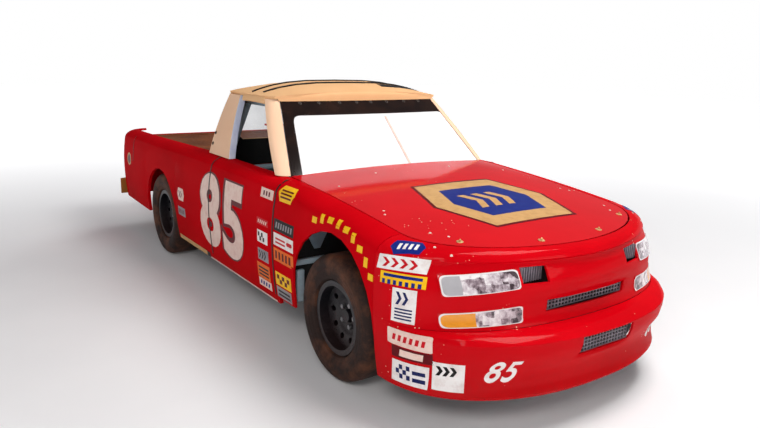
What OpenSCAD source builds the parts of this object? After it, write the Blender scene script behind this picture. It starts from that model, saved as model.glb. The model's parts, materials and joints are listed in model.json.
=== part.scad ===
// Race truck: a stock-bodied pickup on a tubular racing chassis.
// Millimetres. +X forward, +Y to the truck's left, +Z up.
// The origin is on the ground, under the middle of the truck's length and width.

/* [Overall] */
// Overall length, nose to rear bumper
truck_len = 5300; // [5150:10:5450]
// Width across the body sides
body_w = 1890; // [1850:2:1930]
// Height of the roof's crown above the ground
roof_h = 1545; // [1530:1:1560]
// Distance between the axles
wheelbase = 2845; // [2800:5:2890]
// Front axle to the tip of the nose
front_overhang = 1080; // [1060:5:1110]

/* [Body sides] */
// Lower edge of the doors and wings above the ground
door_low_z = 275; // [265:1:290]
// Lower edge of the sill strips above the ground
sill_z = 235; // [225:1:245]
// Height of the widest line of the sides
waist_z = 640; // [560:5:680]
// Height of the door's shelf, under the side window
belt_z = 1000; // [990:1:1010]
// How far the sides tuck in towards the sill
tuck_low = 32; // [10:1:40]
// How far the sides lean in towards the shelf
tuck_high = 46; // [30:1:50]
// Height of the rounded shoulder along the top of the sides
shoulder_h = 85; // [70:1:95]
// Width of the shelf on the doors and bed sides
shelf_w = 118; // [110:1:124]
// Gap between neighbouring panels
panel_gap = 5; // [4:0.5:6]
// Thickness of a wing
wing_t = 12; // [8:1:14]
// Thickness of a door
door_t = 40; // [30:1:42]
// Thickness of a bed side
bed_side_t = 24; // [18:1:26]
// Thickness of the nose panels and the hood
nose_t = 12; // [8:1:14]
// Front edge of the door
door_front_x = 905; // [880:1:910]
// Rear edge of the door
door_rear_x = -130; // [-150:1:-110]
// Height of the bed side at the tail
tail_top_z = 955; // [940:1:980]
// Radius of the tail's corners in plan
tail_r = 130; // [100:1:150]

/* [Wheel openings] */
// Radius of the front wheel opening
front_arch_r = 415; // [410:1:425]
// Height of the front opening's centre
front_arch_z = 415; // [400:1:425]
// Radius of the rear wheel opening
rear_arch_r = 388; // [375:1:400]
// Height of the rear opening's centre
rear_arch_z = 360; // [350:1:380]

/* [Nose and hood] */
// Squareness of the nose in plan
nose_square = 2.3; // [2:0.1:2.8]
// Squareness of the nose's rolled upper edge in plan
nose_square_top = 1.75; // [1.65:0.05:2.2]
// Squareness of the hood's front edge in plan
hood_square = 1.9; // [1.8:0.05:2.2]
// Height of the air dam's lower edge
nose_low_z = 195; // [180:1:205]
// Height of the seam between bumper cover and grille panel
nose_seam_z = 520; // [517:1:530]
// Half width of the hood
hood_half_w = 790; // [780:1:800]
// Height of the hood at the windshield, on the centre line
hood_rear_z = 1034; // [1028:1:1040]
// Height of the hood's leading edge, on the centre line
hood_front_z = 872; // [860:1:880]
// Crown of the hood across its width
hood_crown = 34; // [20:1:40]

/* [Cab] */
// Where the windshield meets the hood, on the centre line
screen_base_x = 872; // [860:1:880]
// Where the windshield meets the roof, on the centre line
screen_top_x = 420; // [400:1:440]
// Half width of the windshield at its foot
screen_base_half_w = 770; // [755:1:775]
// Half width of the windshield at its head
screen_top_half_w = 630; // [610:1:640]
// Half width of the cab at the shelf
cab_base_half_w = 845; // [840:1:850]
// Half width of the cab at the roof's edge
cab_top_half_w = 700; // [690:1:710]
// Height of the roof's edge
roof_edge_z = 1436; // [1425:1:1445]
// Thickness of the pillars and cab corners
pillar_t = 48; // [40:1:50]
// Thickness of the roof
roof_t = 18; // [12:1:22]
// Thickness of the windshield and rear window
glass_t = 6; // [4:0.5:8]
// Rear face of the cab at the shelf
cab_rear_x = -400; // [-410:1:-385]

/* [Wheels] */
// Radius of a tyre
tyre_r = 350; // [345:1:352]
// Width of a tyre
tyre_w = 290; // [280:1:292]
// Radius of the rim's bead seat
rim_r = 190; // [188:1:195]
// Distance between the tyres' middles on an axle
track = 1558; // [1540:2:1560]
// Distance of the steering axis inside the tyre's middle
kingpin_in = 70; // [60:1:80]
// Radius of a brake disc
disc_r = 150; // [140:1:155]
// Bolt circle of the five wheel nuts
nut_circle_d = 127; // [120:1:132]

/* [Chassis] */
// Height of the main rails' top
rail_top_z = 258; // [250:1:260]
// Height of a rail's section
rail_h = 90; // [70:1:95]
// Width of a rail's section
rail_w = 76; // [60:1:80]
// Outside radius of the cage's tubes
tube_r = 22; // [19:0.5:24]
// Clearance left between pieces that seat on each other
seat_gap = 0.3; // [0.2:0.1:0.5]

/* [Hidden] */
$fn = 48;
nose_x = truck_len / 2;
tail_x = -truck_len / 2;
front_axle_x = nose_x - front_overhang;
rear_axle_x = front_axle_x - wheelbase;
body_half_w = body_w / 2;
axle_z = tyre_r;
tyre_mid_y = track / 2;
kingpin_y = tyre_mid_y - kingpin_in;

// Small helpers
function lerp(a, b, t) = a + (b - a) * t;
function spread(a, b, n) = [for (i = [0:n]) lerp(a, b, i / n)];
function flat(rows) = [for (r = rows) each r];
function se(v, p) = sign(v) * pow(abs(v), 2 / p);
module mirrored_y() { mirror([0, 1, 0]) children(); }
module both_sides() { children(); mirrored_y() children(); }

// A closed wall over a grid of points. Its outer face is the grid, its inner face lies t behind it.
function grid_normal(g, i, j) =
    let (last_i = len(g) - 1, last_j = len(g[0]) - 1,
         along = g[min(i + 1, last_i)][j] - g[max(i - 1, 0)][j],
         across = g[i][min(j + 1, last_j)] - g[i][max(j - 1, 0)],
         n = cross(along, across))
    n / norm(n);
function behind(g, t) = [for (i = [0:len(g) - 1]) [for (j = [0:len(g[0]) - 1])
    g[i][j] - t * grid_normal(g, i, j)]];
function quad(a, b, c, d) = [[a, b, c], [a, c, d]];
module wall_between(outer, inner) {
    rows = len(outer);
    cols = len(outer[0]);
    n = rows * cols;
    at = function (i, j) i * cols + j;
    faces = [
        for (i = [0:rows - 2]) for (j = [0:cols - 2]) each concat(
            quad(at(i, j), at(i, j + 1), at(i + 1, j + 1), at(i + 1, j)),
            quad(n + at(i, j), n + at(i + 1, j), n + at(i + 1, j + 1), n + at(i, j + 1))),
        for (j = [0:cols - 2]) each concat(
            quad(at(0, j), n + at(0, j), n + at(0, j + 1), at(0, j + 1)),
            quad(at(rows - 1, j), at(rows - 1, j + 1), n + at(rows - 1, j + 1), n + at(rows - 1, j))),
        for (i = [0:rows - 2]) each concat(
            quad(at(i, 0), at(i + 1, 0), n + at(i + 1, 0), n + at(i, 0)),
            quad(at(i, cols - 1), n + at(i, cols - 1), n + at(i + 1, cols - 1), at(i + 1, cols - 1)))
    ];
    polyhedron(concat(flat(outer), flat(inner)), faces, convexity = 6);
}
module wall(g, t) { wall_between(g, behind(g, t)); }
// The same with its thickness laid level, so that its foot and head stay flat.
function level_normal(g, i, j) = let (n = grid_normal(g, i, j), m = [n[0], n[1], 0]) m / norm(m);
function behind_level(g, t) =
    [for (i = [0:len(g) - 1]) [for (j = [0:len(g[0]) - 1]) g[i][j] - t * level_normal(g, i, j)]];
module level_wall(g, t) { wall_between(g, behind_level(g, t)); }

// Body sides. Stations run along x, and each one has the same rows from its lower edge to the shelf.
side_rows = 6;
shoulder_rows = 5;
shoulder_start = 13;
tail_taper = 22;
tail_taper_from = rear_axle_x - rear_arch_r;
tail_panel_x = tail_x + 75;
function hood_z(x) =
    let (t = (x - screen_base_x) / (nose_x - 200 - screen_base_x))
    hood_rear_z - (hood_rear_z - hood_front_z) * (0.5 * t + 0.5 * t * t);
function top_z(x) =
    x > screen_base_x ? hood_z(x) - hood_crown
    : x > cab_rear_x ? belt_z
    : lerp(belt_z, tail_top_z, (cab_rear_x - x) / (cab_rear_x - tail_panel_x));
function plan_inset(x) =
    let (taper = max(0, (tail_taper_from - x) / (tail_taper_from - tail_panel_x)) * tail_taper,
         u = min(tail_r, max(0, tail_panel_x + tail_r - x)))
    taper + tail_r - sqrt(tail_r * tail_r - u * u);
function side_y(x, z) =
    body_half_w - plan_inset(x)
    - (z < waist_z ? tuck_low * pow((waist_z - z) / (waist_z - sill_z), 2)
                   : tuck_high * pow((z - waist_z) / (belt_z - waist_z), 2));
function shoulder_z(x) = top_z(x) - shoulder_h * (1 - sin(shoulder_start));
function shelf_y(x) = x > door_front_x ? hood_half_w : side_y(x, shoulder_z(x)) - shelf_w;
function side_section(x, low) =
    let (zs = shoulder_z(x), ys = side_y(x, zs), yi = shelf_y(x), rx = (ys - yi) / cos(shoulder_start))
    concat(
        [for (i = [0:side_rows - 1]) let (z = lerp(low, zs, i / side_rows)) [x, side_y(x, z), z]],
        [for (i = [0:shoulder_rows]) let (a = lerp(shoulder_start, 90, i / shoulder_rows))
            [x, yi + rx * cos(a), zs + shoulder_h * (sin(a) - sin(shoulder_start))]]);
function turned(rows) = [for (i = [len(rows) - 1:-1:0]) rows[i]];
function side_grid(stations) = [for (s = turned(stations)) side_section(s[0], s[1])];
arch_steps = 12;
function arch_stations(xc, zc, r) =
    [for (i = [0:arch_steps]) let (a = 180 - 180 * i / arch_steps) [xc + r * cos(a), zc + r * sin(a)]];
function plain_stations(x0, x1, n) = [for (x = spread(x0, x1, n)) [x, door_low_z]];

wing_front_x = front_axle_x + front_arch_r;
module wing_left() {
    stations = concat(plain_stations(door_front_x, front_axle_x - front_arch_r - 2, 3),
                      arch_stations(front_axle_x, front_arch_z, front_arch_r));
    color("firebrick") wall(side_grid(stations), wing_t);
}
module door_left() {
    color("firebrick") wall(side_grid(plain_stations(door_rear_x, door_front_x - panel_gap, 5)), door_t);
}
module bed_side_left() {
    corner = [for (a = [90:-18:0]) [tail_panel_x + tail_r - tail_r * sin(a) * 0.999, bed_low_z]];
    stations = concat(corner,
                      [for (x = spread(tail_panel_x + tail_r + 60, rear_axle_x - rear_arch_r - 2, 3))
                          [x, bed_low_z]],
                      arch_stations(rear_axle_x, rear_arch_z, rear_arch_r),
                      plain_stations(rear_axle_x + rear_arch_r + 2, door_rear_x - panel_gap, 5));
    color("firebrick") wall(side_grid(stations), bed_side_t);
}
bed_low_z = 300;

// Sill strips close the lower edge between the wheel openings.
sill_t = 22;
module sill() {
    x0 = rear_axle_x + rear_arch_r + 4;
    x1 = door_front_x + 40;
    levels = [sill_z, (sill_z + door_low_z) / 2, door_low_z - seat_gap];
    rows = [for (x = spread(x0, x1, 8)) [for (z = levels) [x, side_y(x, z), z]]];
    level_wall(turned(rows), sill_t);
}
module sills() { color("tan") both_sides() sill(); }

// Nose. Each height has its own rounded outline, from its reach forward of the wheel opening.
nose_gap = 2.4;
nose_root_x = wing_front_x + nose_gap;
nose_steps = 36;
nose_lip_z = 828;
bumper_reach = nose_x - nose_root_x;
// columns: height, distance back from the tip of the nose
bumper_rows = [[nose_low_z, 46], [nose_low_z + 17, 34], [240, 52], [290, 66], [345, 50], [395, 14],
               [440, 2], [480, 0], [503, 30], [514, 74], [nose_seam_z, 124]];
panel_rows = [[nose_seam_z + seat_gap, 128], [545, 140], [575, 146], [630, 138], [660, 126], [700, 118],
              [735, 124], [770, 138], [800, 150], [818, 150], [nose_lip_z, 138]];
// The outline is squarest at the bumper and rounds off towards the rolled upper edge.
function square_at(z) = lerp(nose_square, nose_square_top,
    max(0, min(1, (z - nose_seam_z) / (nose_lip_z - nose_seam_z))));
function nose_point(a, z, back) =
    let (n = square_at(z)) [nose_root_x + (bumper_reach - back) * se(cos(a), n),
        side_y(nose_root_x, z) * se(sin(a), n), z];
function nose_angles(n) = spread(-90, 90, n);
module bumper_shell() {
    wall([for (a = nose_angles(nose_steps)) [for (r = bumper_rows) nose_point(a, r[0], r[1])]], nose_t);
}
// The hood's front outline, which the grille panel's rolled edge meets.
hood_reach_back = 205;
function hood_front(a) = [nose_root_x + (bumper_reach - hood_reach_back) * se(cos(a), hood_square),
    hood_half_w * se(sin(a), hood_square)];
function crown_z(x, y) = hood_z(x) - hood_crown * pow(abs(y) / hood_half_w, 2);
lip_rows = 4;
function lip_point(a, i) =
    let (low = panel_rows[len(panel_rows) - 1], o = nose_point(a, low[0], low[1]),
         h = hood_front(a), zt = crown_z(h[0], h[1]), b = lerp(10, 90, i / lip_rows),
         k = (1 - cos(b) / cos(10)), m = (sin(b) - sin(10)) / (1 - sin(10)))
    [lerp(o[0], h[0], k), lerp(o[1], h[1], k), lerp(o[2], zt, m)];
module grille_panel_shell() {
    wall([for (a = nose_angles(nose_steps)) concat([for (r = panel_rows) nose_point(a, r[0], r[1])],
                                                   [for (i = [1:lip_rows]) lip_point(a, i)])], nose_t);
}
// columns: half width from, half width to, height from, height to
bar_grille = [292, 430, 722, 796];
slot_grille = [0, 288, 572, 632];
dam_grille = [0, 188, 380, 474];
module grille_hole(g) {
    w = g[0] == 0 ? 2 * g[1] : g[1] - g[0];
    y = g[0] == 0 ? 0 : (g[0] + g[1]) / 2;
    for (s = g[0] == 0 ? [1] : [-1, 1])
        translate([nose_root_x + 250, s * y - w / 2, g[2]]) cube([600, w, g[3] - g[2]]);
}
module bumper_cover() { color("firebrick") difference() { bumper_shell(); grille_hole(dam_grille); } }
module grille_panel() {
    color("firebrick") difference() {
        grille_panel_shell();
        grille_hole(bar_grille);
        grille_hole(slot_grille);
    }
}
// Grilles: upright bars beside the headlamps, mesh in the slot and in the air dam.
grille_depth = 26;
module bar_set(x, g, count) {
    gap = seat_gap;
    w = g[1] - g[0] - 2 * gap;
    for (i = [0:count - 1])
        translate([x, g[0] + gap + i * (w - 6) / (count - 1), g[2] + gap])
            cube([grille_depth, 6, g[3] - g[2] - 2 * gap]);
    translate([x, g[0] + gap, g[2] + gap]) cube([4, w, g[3] - g[2] - 2 * gap]);
}
module mesh_set(x, g, bars, rails) {
    gap = seat_gap;
    w = 2 * g[1] - 2 * gap;
    h = g[3] - g[2] - 2 * gap;
    for (i = [0:bars]) translate([x, -w / 2 + i * (w - 4) / bars, g[2] + gap]) cube([6, 4, h]);
    for (i = [0:rails]) translate([x, -w / 2, g[2] + gap + i * (h - 4) / rails]) cube([6, w, 4]);
}
function nose_face_x(y, z, back) =
    let (n = square_at(z), share = y / side_y(nose_root_x, z))
    nose_root_x + (bumper_reach - back) * pow(1 - pow(share, n), 1 / n);
module grilles() {
    color("dimgray") {
        both_sides() bar_set(nose_face_x(bar_grille[1], 780, 142) - nose_t - 6, bar_grille, 9);
        mesh_set(nose_face_x(slot_grille[1], 600, 144) - nose_t - 6, slot_grille, 24, 3);
        mesh_set(nose_face_x(dam_grille[1], 430, 14) - nose_t - 12, dam_grille, 16, 5);
    }
}
// Lamp covers lie on the grille panel. Angle runs out from the centre line.
lamp_t = 3;
function panel_back(z) =
    let (k = max([for (i = [0:len(panel_rows) - 2]) z >= panel_rows[i][0] ? i : 0]), a = panel_rows[k],
        b = panel_rows[k + 1])
    lerp(a[1], b[1], (z - a[0]) / (b[0] - a[0]));
// Superellipse angle whose point has half width y at height z.
function angle_at(y, z) = asin(pow(y / side_y(nose_root_x, z), square_at(z) / 2));
function lamp_grid(y0, y1, low0, low1, high0, high1) =
    [for (t = spread(0, 1, 10)) [for (j = [0:3])
        let (z = lerp(lerp(low0, low1, t), lerp(high0, high1, t), j / 3), y = lerp(y0, y1, t))
            nose_point(angle_at(y, z), z, panel_back(z))]];
module lamp(g, off) { wall_between(behind(g, -off - lamp_t), behind(g, -off)); }
module headlamps() { color("gainsboro") both_sides() lamp(lamp_grid(445, 780, 706, 676, 792, 768), 2); }
module turn_lamps() { color("goldenrod") both_sides() lamp(lamp_grid(424, 793, 540, 532, 620, 597), 0.9); }

// Hood: a crowned tongue between the wings, hinged under the windshield.
hood_cols = 20;
hood_rows = 10;
hood_rear_gap = 24;
hood_gap = 7;
function hood_rear_x(y) =
    screen_base_x + hood_rear_gap - screen_bow_base * pow(abs(y) / screen_base_half_w, 2);
function hood_point(a, u) =
    let (f = hood_front(a), y = f[1] * (1 - hood_gap / hood_half_w), xr = hood_rear_x(y),
        x = lerp(xr, f[0] - hood_gap, u))
    [x, y, crown_z(x, y)];
// Hinge pins stand on the cowl, and the hood's eyes turn on them.
cowl_z = [964, 979];
hinge = [screen_base_x - 10, 600, cowl_z[1] + 3];
hinge_r = 7;
module hood() {
    color("firebrick") {
        wall([for (u = spread(0, 1, hood_rows)) [for (a = nose_angles(hood_cols)) hood_point(a, u)]],
            nose_t);
        both_sides() difference() {
            union() {
                translate([hinge[0], hinge[1] - 6, hinge[2]]) along_y(13, 0, 12);
                block([hinge[0] + 4, hinge[0] + 30], [hinge[1] - 6, hinge[1] + 6],
                    [hinge[2] - 6, crown_z(hinge[0] + 10, hinge[1]) - nose_t + 3]);
            }
            translate([hinge[0], hinge[1] - 20, hinge[2]]) along_y(hinge_r + pin_slack, 0, 40);
        }
    }
}

// Cab. A level h runs from 0 at the shelf to 1 at the roof's edge.
screen_bow_base = 50;
screen_bow_top = 30;
cab_low_z = belt_z + seat_gap;
side_bulge = 12;
function cab_z(h) = lerp(cab_low_z, roof_edge_z, h);
function screen_point(y_share, h) =
    [lerp(screen_base_x, screen_top_x, h) - lerp(screen_bow_base, screen_bow_top, h) * y_share * y_share,
     lerp(screen_base_half_w, screen_top_half_w, h) * y_share, cab_z(h)];
function cab_half_w(h) = lerp(cab_base_half_w, cab_top_half_w, h) + side_bulge * 4 * h * (1 - h);
// Foot and head of the side window's front and rear edges
window_front_x = [745, 305];
window_rear_x = [20, -90];
function bezier(a, b, c, t) = lerp(lerp(a, b, t), lerp(b, c, t), t);
function pillar_point(t, h) =
    let (s = screen_point(1, h), e = [lerp(window_front_x[0], window_front_x[1], h), cab_half_w(h),
        cab_z(h)],
         knee = [lerp(s[0], e[0], 0.12), e[1] - 2, s[2]])
    bezier(s + [0, 6, 0], knee, e, t);
module a_pillars() {
    color("wheat") both_sides()
        level_wall([for (h = spread(1, 0, 6)) [for (t = spread(0, 1, 5)) pillar_point(t, h)]], pillar_t);
}
cab_corner_r = 60;
cab_lean = 70;
function corner_x(h) = lerp(cab_rear_x, cab_rear_x + cab_lean, h);
function corner_point(t, h) =
    let (w = cab_half_w(h), x0 = lerp(window_rear_x[0], window_rear_x[1], h),
        x1 = corner_x(h) + cab_corner_r, a = (t - 1) * 90)
    t <= 1 ? [lerp(x0, x1, t), w, cab_z(h)] : [x1 - cab_corner_r * sin(a),
        w - cab_corner_r * (1 - cos(a)), cab_z(h)];
module cab_corners() {
    color("wheat") both_sides()
        level_wall([for (t = [0, 0.33, 0.66, 1, 1.25, 1.5, 1.75, 2]) [for (h = spread(0, 1, 5))
            corner_point(t, h)]], pillar_t);
}
// Cab back: a leaning panel between the corners with the rear window's opening.
cab_back_t = 26;
cab_back_low_z = 890;
rear_window_low = 1090;
rear_window_high = 1385;
rear_window_half_w = [600, 520];
back_angle = atan2(cab_lean, roof_edge_z - cab_low_z);
module on_cab_back() {
    translate([corner_x(0), 0, cab_low_z]) rotate([0, back_angle, 0]) rotate([90, 0, -90]) children();
}
module cab_back() {
    hw0 = cab_base_half_w - cab_corner_r - 2;
    hw_low = hw0 - 16;
    hw1 = cab_top_half_w - cab_corner_r - 2;
    low = cab_back_low_z - cab_low_z;
    high = (roof_edge_z - cab_low_z) / cos(back_angle) - 4;
    color("wheat") on_cab_back() translate([0, 0, -cab_back_t]) difference() {
        linear_extrude(cab_back_t) polygon([[-hw_low, low], [hw_low, low], [hw_low, 30], [hw0 - 10, 32],
            [hw1, high], [-hw1, high], [10 - hw0, 32], [-hw_low, 30]]);
        translate([0, 0, -1]) linear_extrude(cab_back_t + 2) rear_window_outline(0);
    }
}
module rear_window_outline(inset) {
    w0 = rear_window_half_w[0] - inset;
    w1 = rear_window_half_w[1] - inset;
    low = rear_window_low - cab_low_z + inset;
    high = rear_window_high - cab_low_z - inset;
    polygon([[-w0, low + 30], [-w0 + 30, low], [w0 - 30, low], [w0, low + 30], [w1, high - 30],
        [w1 - 30, high], [30 - w1, high], [-w1, high - 30]]);
}
module rear_window() {
    color("lightblue") on_cab_back() translate([0, 0, -cab_back_t / 2 - glass_t / 2])
        linear_extrude(glass_t) rear_window_outline(seat_gap);
}
module windshield() {
    color("aliceblue")
        level_wall([for (h = spread(0.992, 0.004, 6)) [for (s = spread(-0.998, 0.998, 10))
            screen_point(s, h)]], glass_t * 1.4);
}
// Roof: a crowned panel whose edge sits on the pillars.
roof_low_z = roof_edge_z + roof_t + seat_gap;
roof_cols = 12;
roof_rows = 9;
function roof_point(u, v) =
    let (w = cab_half_w(1) - lerp(26, 0, min(1, v * 6)) - lerp(0, 20, max(0, v * 3 - 2)),
         share = se(sin(90 * u), 2.6),
         xf = screen_top_x + 6 - screen_bow_top * u * u, xr = corner_x(1) + 2,
         x = lerp(xf, xr, v), y = w * share,
         full = roof_h - roof_low_z, back = max(0, (v - 0.45) / 0.55),
         rise = lerp(lerp(full * 0.3, full, sin(90 * min(1, v * 2.2))), full * 0.55, back * back))
    [x, y, roof_low_z + rise * (1 - pow(abs(share), 3.2))];
module roof() {
    color("wheat") wall([for (v = spread(1, 0, roof_rows)) [for (u = spread(-1, 1, roof_cols))
        roof_point(u, v)]], roof_t);
}

// Net in the left window, flat webbing leaning with the cab's side.
net_t = 4;
net_lean = atan2(cab_base_half_w - cab_top_half_w, roof_edge_z - cab_low_z);
net_h = (roof_edge_z - cab_low_z) / cos(net_lean) - 14;
net_web = 24;
module window_net() {
    front = [window_front_x[0] - 40, window_front_x[1] - 4];
    rear = [window_rear_x[0] + 4, window_rear_x[1] + 4];
    color("black") translate([0, cab_base_half_w - pillar_t + 14, cab_low_z + 2])
        rotate([90 + net_lean, 0, 0]) {
        for (i = [0:5]) let (y = i * (net_h - net_web) / 5, t0 = y / net_h, t1 = (y + net_web) / net_h)
            linear_extrude(net_t)
                polygon([[lerp(rear[0], rear[1], t0), y], [lerp(front[0], front[1], t0), y],
                         [lerp(front[0], front[1], t1), y + net_web],
                             [lerp(rear[0], rear[1], t1), y + net_web]]);
        for (i = [0:6]) let (t = i / 6, x0 = lerp(rear[0], front[0] - net_web, t),
            x1 = lerp(rear[1], front[1] - net_web, t))
            translate([0, 0, net_t + seat_gap]) linear_extrude(net_t)
                polygon([[x0, 0], [x0 + net_web, 0], [x1 + net_web, net_h], [x1, net_h]]);
    }
}

// Bed and tail.
bed_cover_z = 872;
bed_cover_t = 6;
module bed_cover() {
    x0 = tail_panel_x + tail_r + 4;
    x1 = cab_rear_x - 26;
    edge = [for (x = spread(x0, x1, 10)) [x, side_y(x, bed_cover_z) - bed_side_t - 2.6]];
    n = len(edge);
    color("sienna") translate([0, 0, bed_cover_z]) linear_extrude(bed_cover_t)
        polygon(concat(edge, [for (i = [n - 1:-1:0]) [edge[i][0], -edge[i][1]]]));
}
tailgate_t = 30;
module tailgate() {
    end_x = tail_panel_x + 0.2;
    levels = [bed_low_z, (bed_low_z + waist_z) / 2, waist_z, (waist_z + tail_top_z) / 2,
        shoulder_z(tail_panel_x)];
    edge = [for (z = levels) [side_y(end_x, z) - panel_gap - 1.5, z]];
    n = len(edge);
    color("firebrick") translate([tail_panel_x + tailgate_t, 0, 0]) rotate([90, 0, -90])
        linear_extrude(tailgate_t)
        polygon(concat(edge, [for (i = [n - 1:-1:0]) [-edge[i][0], edge[i][1]]]));
}
bumper_half_w = 938;
bumper_low_z = 302;
bumper_h = 150;
module rear_bumper() {
    depth = tail_panel_x - tail_x - seat_gap;
    outline = [for (a = spread(-90, 90, 28)) [-depth * se(cos(a), 4), bumper_half_w * se(sin(a), 4)]];
    color("tan") translate([tail_panel_x - seat_gap, 0, bumper_low_z]) linear_extrude(bumper_h)
        polygon(outline);
}

// Rods and tubes between two points.
module rod(p, q, r) {
    d = q - p;
    translate(p) rotate([0, acos(d[2] / norm(d)), atan2(d[1], d[0])]) cylinder(h = norm(d), r = r);
}
module block(x, y, z) { translate([x[0], y[0], z[0]]) cube([x[1] - x[0], y[1] - y[0], z[1] - z[0]]); }

// Frame: wide rails under the cab, narrow ones fore, raised ones aft.
rail_low_z = rail_top_z - rail_h;
main_rail_y = 620;
front_rail_y = 362;
rear_rail_y = 450;
rear_rail_z = 442;
cross_x = [700, 776];
rear_cross_x = [rear_axle_x + 649, rear_axle_x + 725];
front_end_x = nose_x - 550;
rear_end_x = tail_x + 210;
tower_z = 570;
tow_hole_r = 16;
tow_eye = [rear_end_x - 90, 262];
module frame() {
    color("lightslategray") union() {
        block(cross_x, [-main_rail_y - rail_w, main_rail_y + rail_w], [rail_low_z, rail_top_z]);
        block(rear_cross_x, [-main_rail_y - rail_w, main_rail_y + rail_w], [rail_low_z, rail_top_z]);
        both_sides() {
            block([rear_cross_x[1], cross_x[0]], [main_rail_y, main_rail_y + rail_w],
                [rail_low_z, rail_top_z]);
            block([cross_x[1], front_end_x], [front_rail_y, front_rail_y + rail_w],
                [rail_low_z, rail_top_z]);
            // spring towers over the front axle
            block([front_axle_x - 45, front_axle_x + 45], [front_rail_y, front_rail_y + 60],
                [rail_top_z, tower_z]);
            // kick-ups and raised rails over the rear axle
            block([rear_cross_x[0] - rail_w, rear_cross_x[0]], [rear_rail_y, rear_rail_y + rail_w],
                [rail_low_z, rear_rail_z + rail_w]);
            block([rear_end_x, rear_cross_x[0] - rail_w], [rear_rail_y, rear_rail_y + rail_w],
                [rear_rail_z, rear_rail_z + rail_w]);
        }
        block([front_end_x, front_end_x + 60], [-front_rail_y - rail_w, front_rail_y + rail_w],
            [rail_low_z, rail_top_z]);
        block([front_axle_x - 45, front_axle_x + 45], [-front_rail_y, front_rail_y],
            [tower_z - 60, tower_z]);
        block([rear_end_x - 60, rear_end_x], [-rear_rail_y - rail_w, rear_rail_y + rail_w],
            [rear_rail_z, rear_rail_z + rail_w]);
        difference() {
            union() {
                block([rear_end_x - 130, rear_end_x - 10], [-8, 8], [225, bed_low_z - seat_gap]);
                block([rear_end_x - 60, rear_end_x - 10], [-8, 8], [bed_low_z - 2, rear_rail_z + 1]);
            }
            translate([tow_eye[0], 0, tow_eye[1]]) rotate([90, 0, 0])
                cylinder(h = 60, r = tow_hole_r, center = true);
        }
    }
}
// Roll cage: straight tubes that meet with a hairline gap.
floor_t = 4;
floor_z = rail_top_z + seat_gap;
hoop_x = -240;
leg_x = 640;
hoop_foot_y = 735;
cage_top_z = 1384;
cage_top_y = 566;
knee_z = 965;
halo_x = 330;
module cage_tube(p, q) {
    d = (q - p) / norm(q - p);
    rod(p + d * (tube_r + seat_gap), q - d * (tube_r + seat_gap), tube_r);
}
module cage_joint(p) { translate(p) sphere(r = tube_r); }
module roll_cage() {
    low = floor_z + floor_t + seat_gap - tube_r - seat_gap;
    hoop_foot = [hoop_x, hoop_foot_y, low];
    hoop_knee = [hoop_x, hoop_foot_y, knee_z];
    hoop_top = [hoop_x, cage_top_y, cage_top_z];
    leg_foot = [leg_x, hoop_foot_y - 40, low];
    leg_knee = [leg_x, hoop_foot_y - 40, knee_z - 20];
    halo = [halo_x, cage_top_y - 10, cage_top_z];
    color("lightslategray") {
        both_sides() {
            cage_tube(hoop_foot, hoop_knee);
            cage_joint(hoop_knee);
            cage_tube(hoop_knee, hoop_top);
            cage_joint(hoop_top);
            cage_tube(leg_foot, leg_knee);
            cage_joint(leg_knee);
            cage_tube(leg_knee, halo);
            cage_joint(halo);
            cage_tube(halo, hoop_top);
            for (z = [430, 560, 690, 820])
                cage_tube([hoop_x, hoop_foot_y, z], [leg_x, hoop_foot_y - 40, z]);
        }
        cage_tube([hoop_x, -cage_top_y, cage_top_z], hoop_top);
        cage_tube([halo_x, 10 - cage_top_y, cage_top_z], halo);
        cage_tube([hoop_x, -hoop_foot_y, 880], [hoop_x, hoop_foot_y, 880]);
        cage_tube([leg_x, 40 - hoop_foot_y, 730], [leg_x, hoop_foot_y - 40, 730]);
    }
}
// Floor with its driveline tunnel, and the bulkheads fore and aft of the cab.
floor_half_w = side_y(0, 258) - sill_t - 2;
floor_x = [cab_rear_x + 8, screen_base_x - 74];
tunnel_half_w = 170;
tunnel_top_z = 450;
module floor_pan() {
    color("slategray") union() {
        both_sides() block(floor_x, [tunnel_half_w, floor_half_w], [floor_z, floor_z + floor_t]);
        both_sides() block(floor_x, [tunnel_half_w - floor_t, tunnel_half_w], [floor_z, tunnel_top_z]);
        block(floor_x, [-tunnel_half_w, tunnel_half_w], [tunnel_top_z - floor_t, tunnel_top_z]);
    }
}
firewall_x = [screen_base_x - 72, screen_base_x - 66];
module bulkheads() {
    color("slategray") {
        difference() {
            block(firewall_x, [-screen_base_half_w, screen_base_half_w], [floor_z, cowl_z[0] - seat_gap]);
            block([firewall_x[0] - 1, firewall_x[1] + 1], [-tunnel_half_w, tunnel_half_w],
                [floor_z - 1, tunnel_top_z]);
        }
        difference() {
            block([floor_x[0] - 6, floor_x[0] - 2], [-floor_half_w, floor_half_w],
                [floor_z, bed_cover_z - 2]);
            block([floor_x[0] - 7, floor_x[0] - 1], [-tunnel_half_w, tunnel_half_w],
                [floor_z - 1, tunnel_top_z]);
        }
    }
}
module cowl() {
    foot = [for (s = spread(-0.985, 0.985, 10)) let (p = screen_point(s, 0)) [p[0], p[1]]];
    n = len(foot);
    color("firebrick") union() {
        block([screen_base_x - 102, screen_base_x - screen_bow_base - 22],
            [10 - screen_base_half_w, screen_base_half_w - 10], cowl_z);
        translate([0, 0, cowl_z[0]]) linear_extrude(cab_z(0.004) - seat_gap - cowl_z[0])
            polygon(concat(foot, [for (i = [n - 1:-1:0]) [foot[i][0] - 26, foot[i][1]]]));
        both_sides() {
            block([hinge[0] - 40, hinge[0] + 9], [hinge[1] + 12, hinge[1] + 26], [cowl_z[0], hinge[2] + 9]);
            translate([hinge[0], hinge[1], hinge[2]]) along_y(hinge_r, -10, 14);
        }
    }
}
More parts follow.
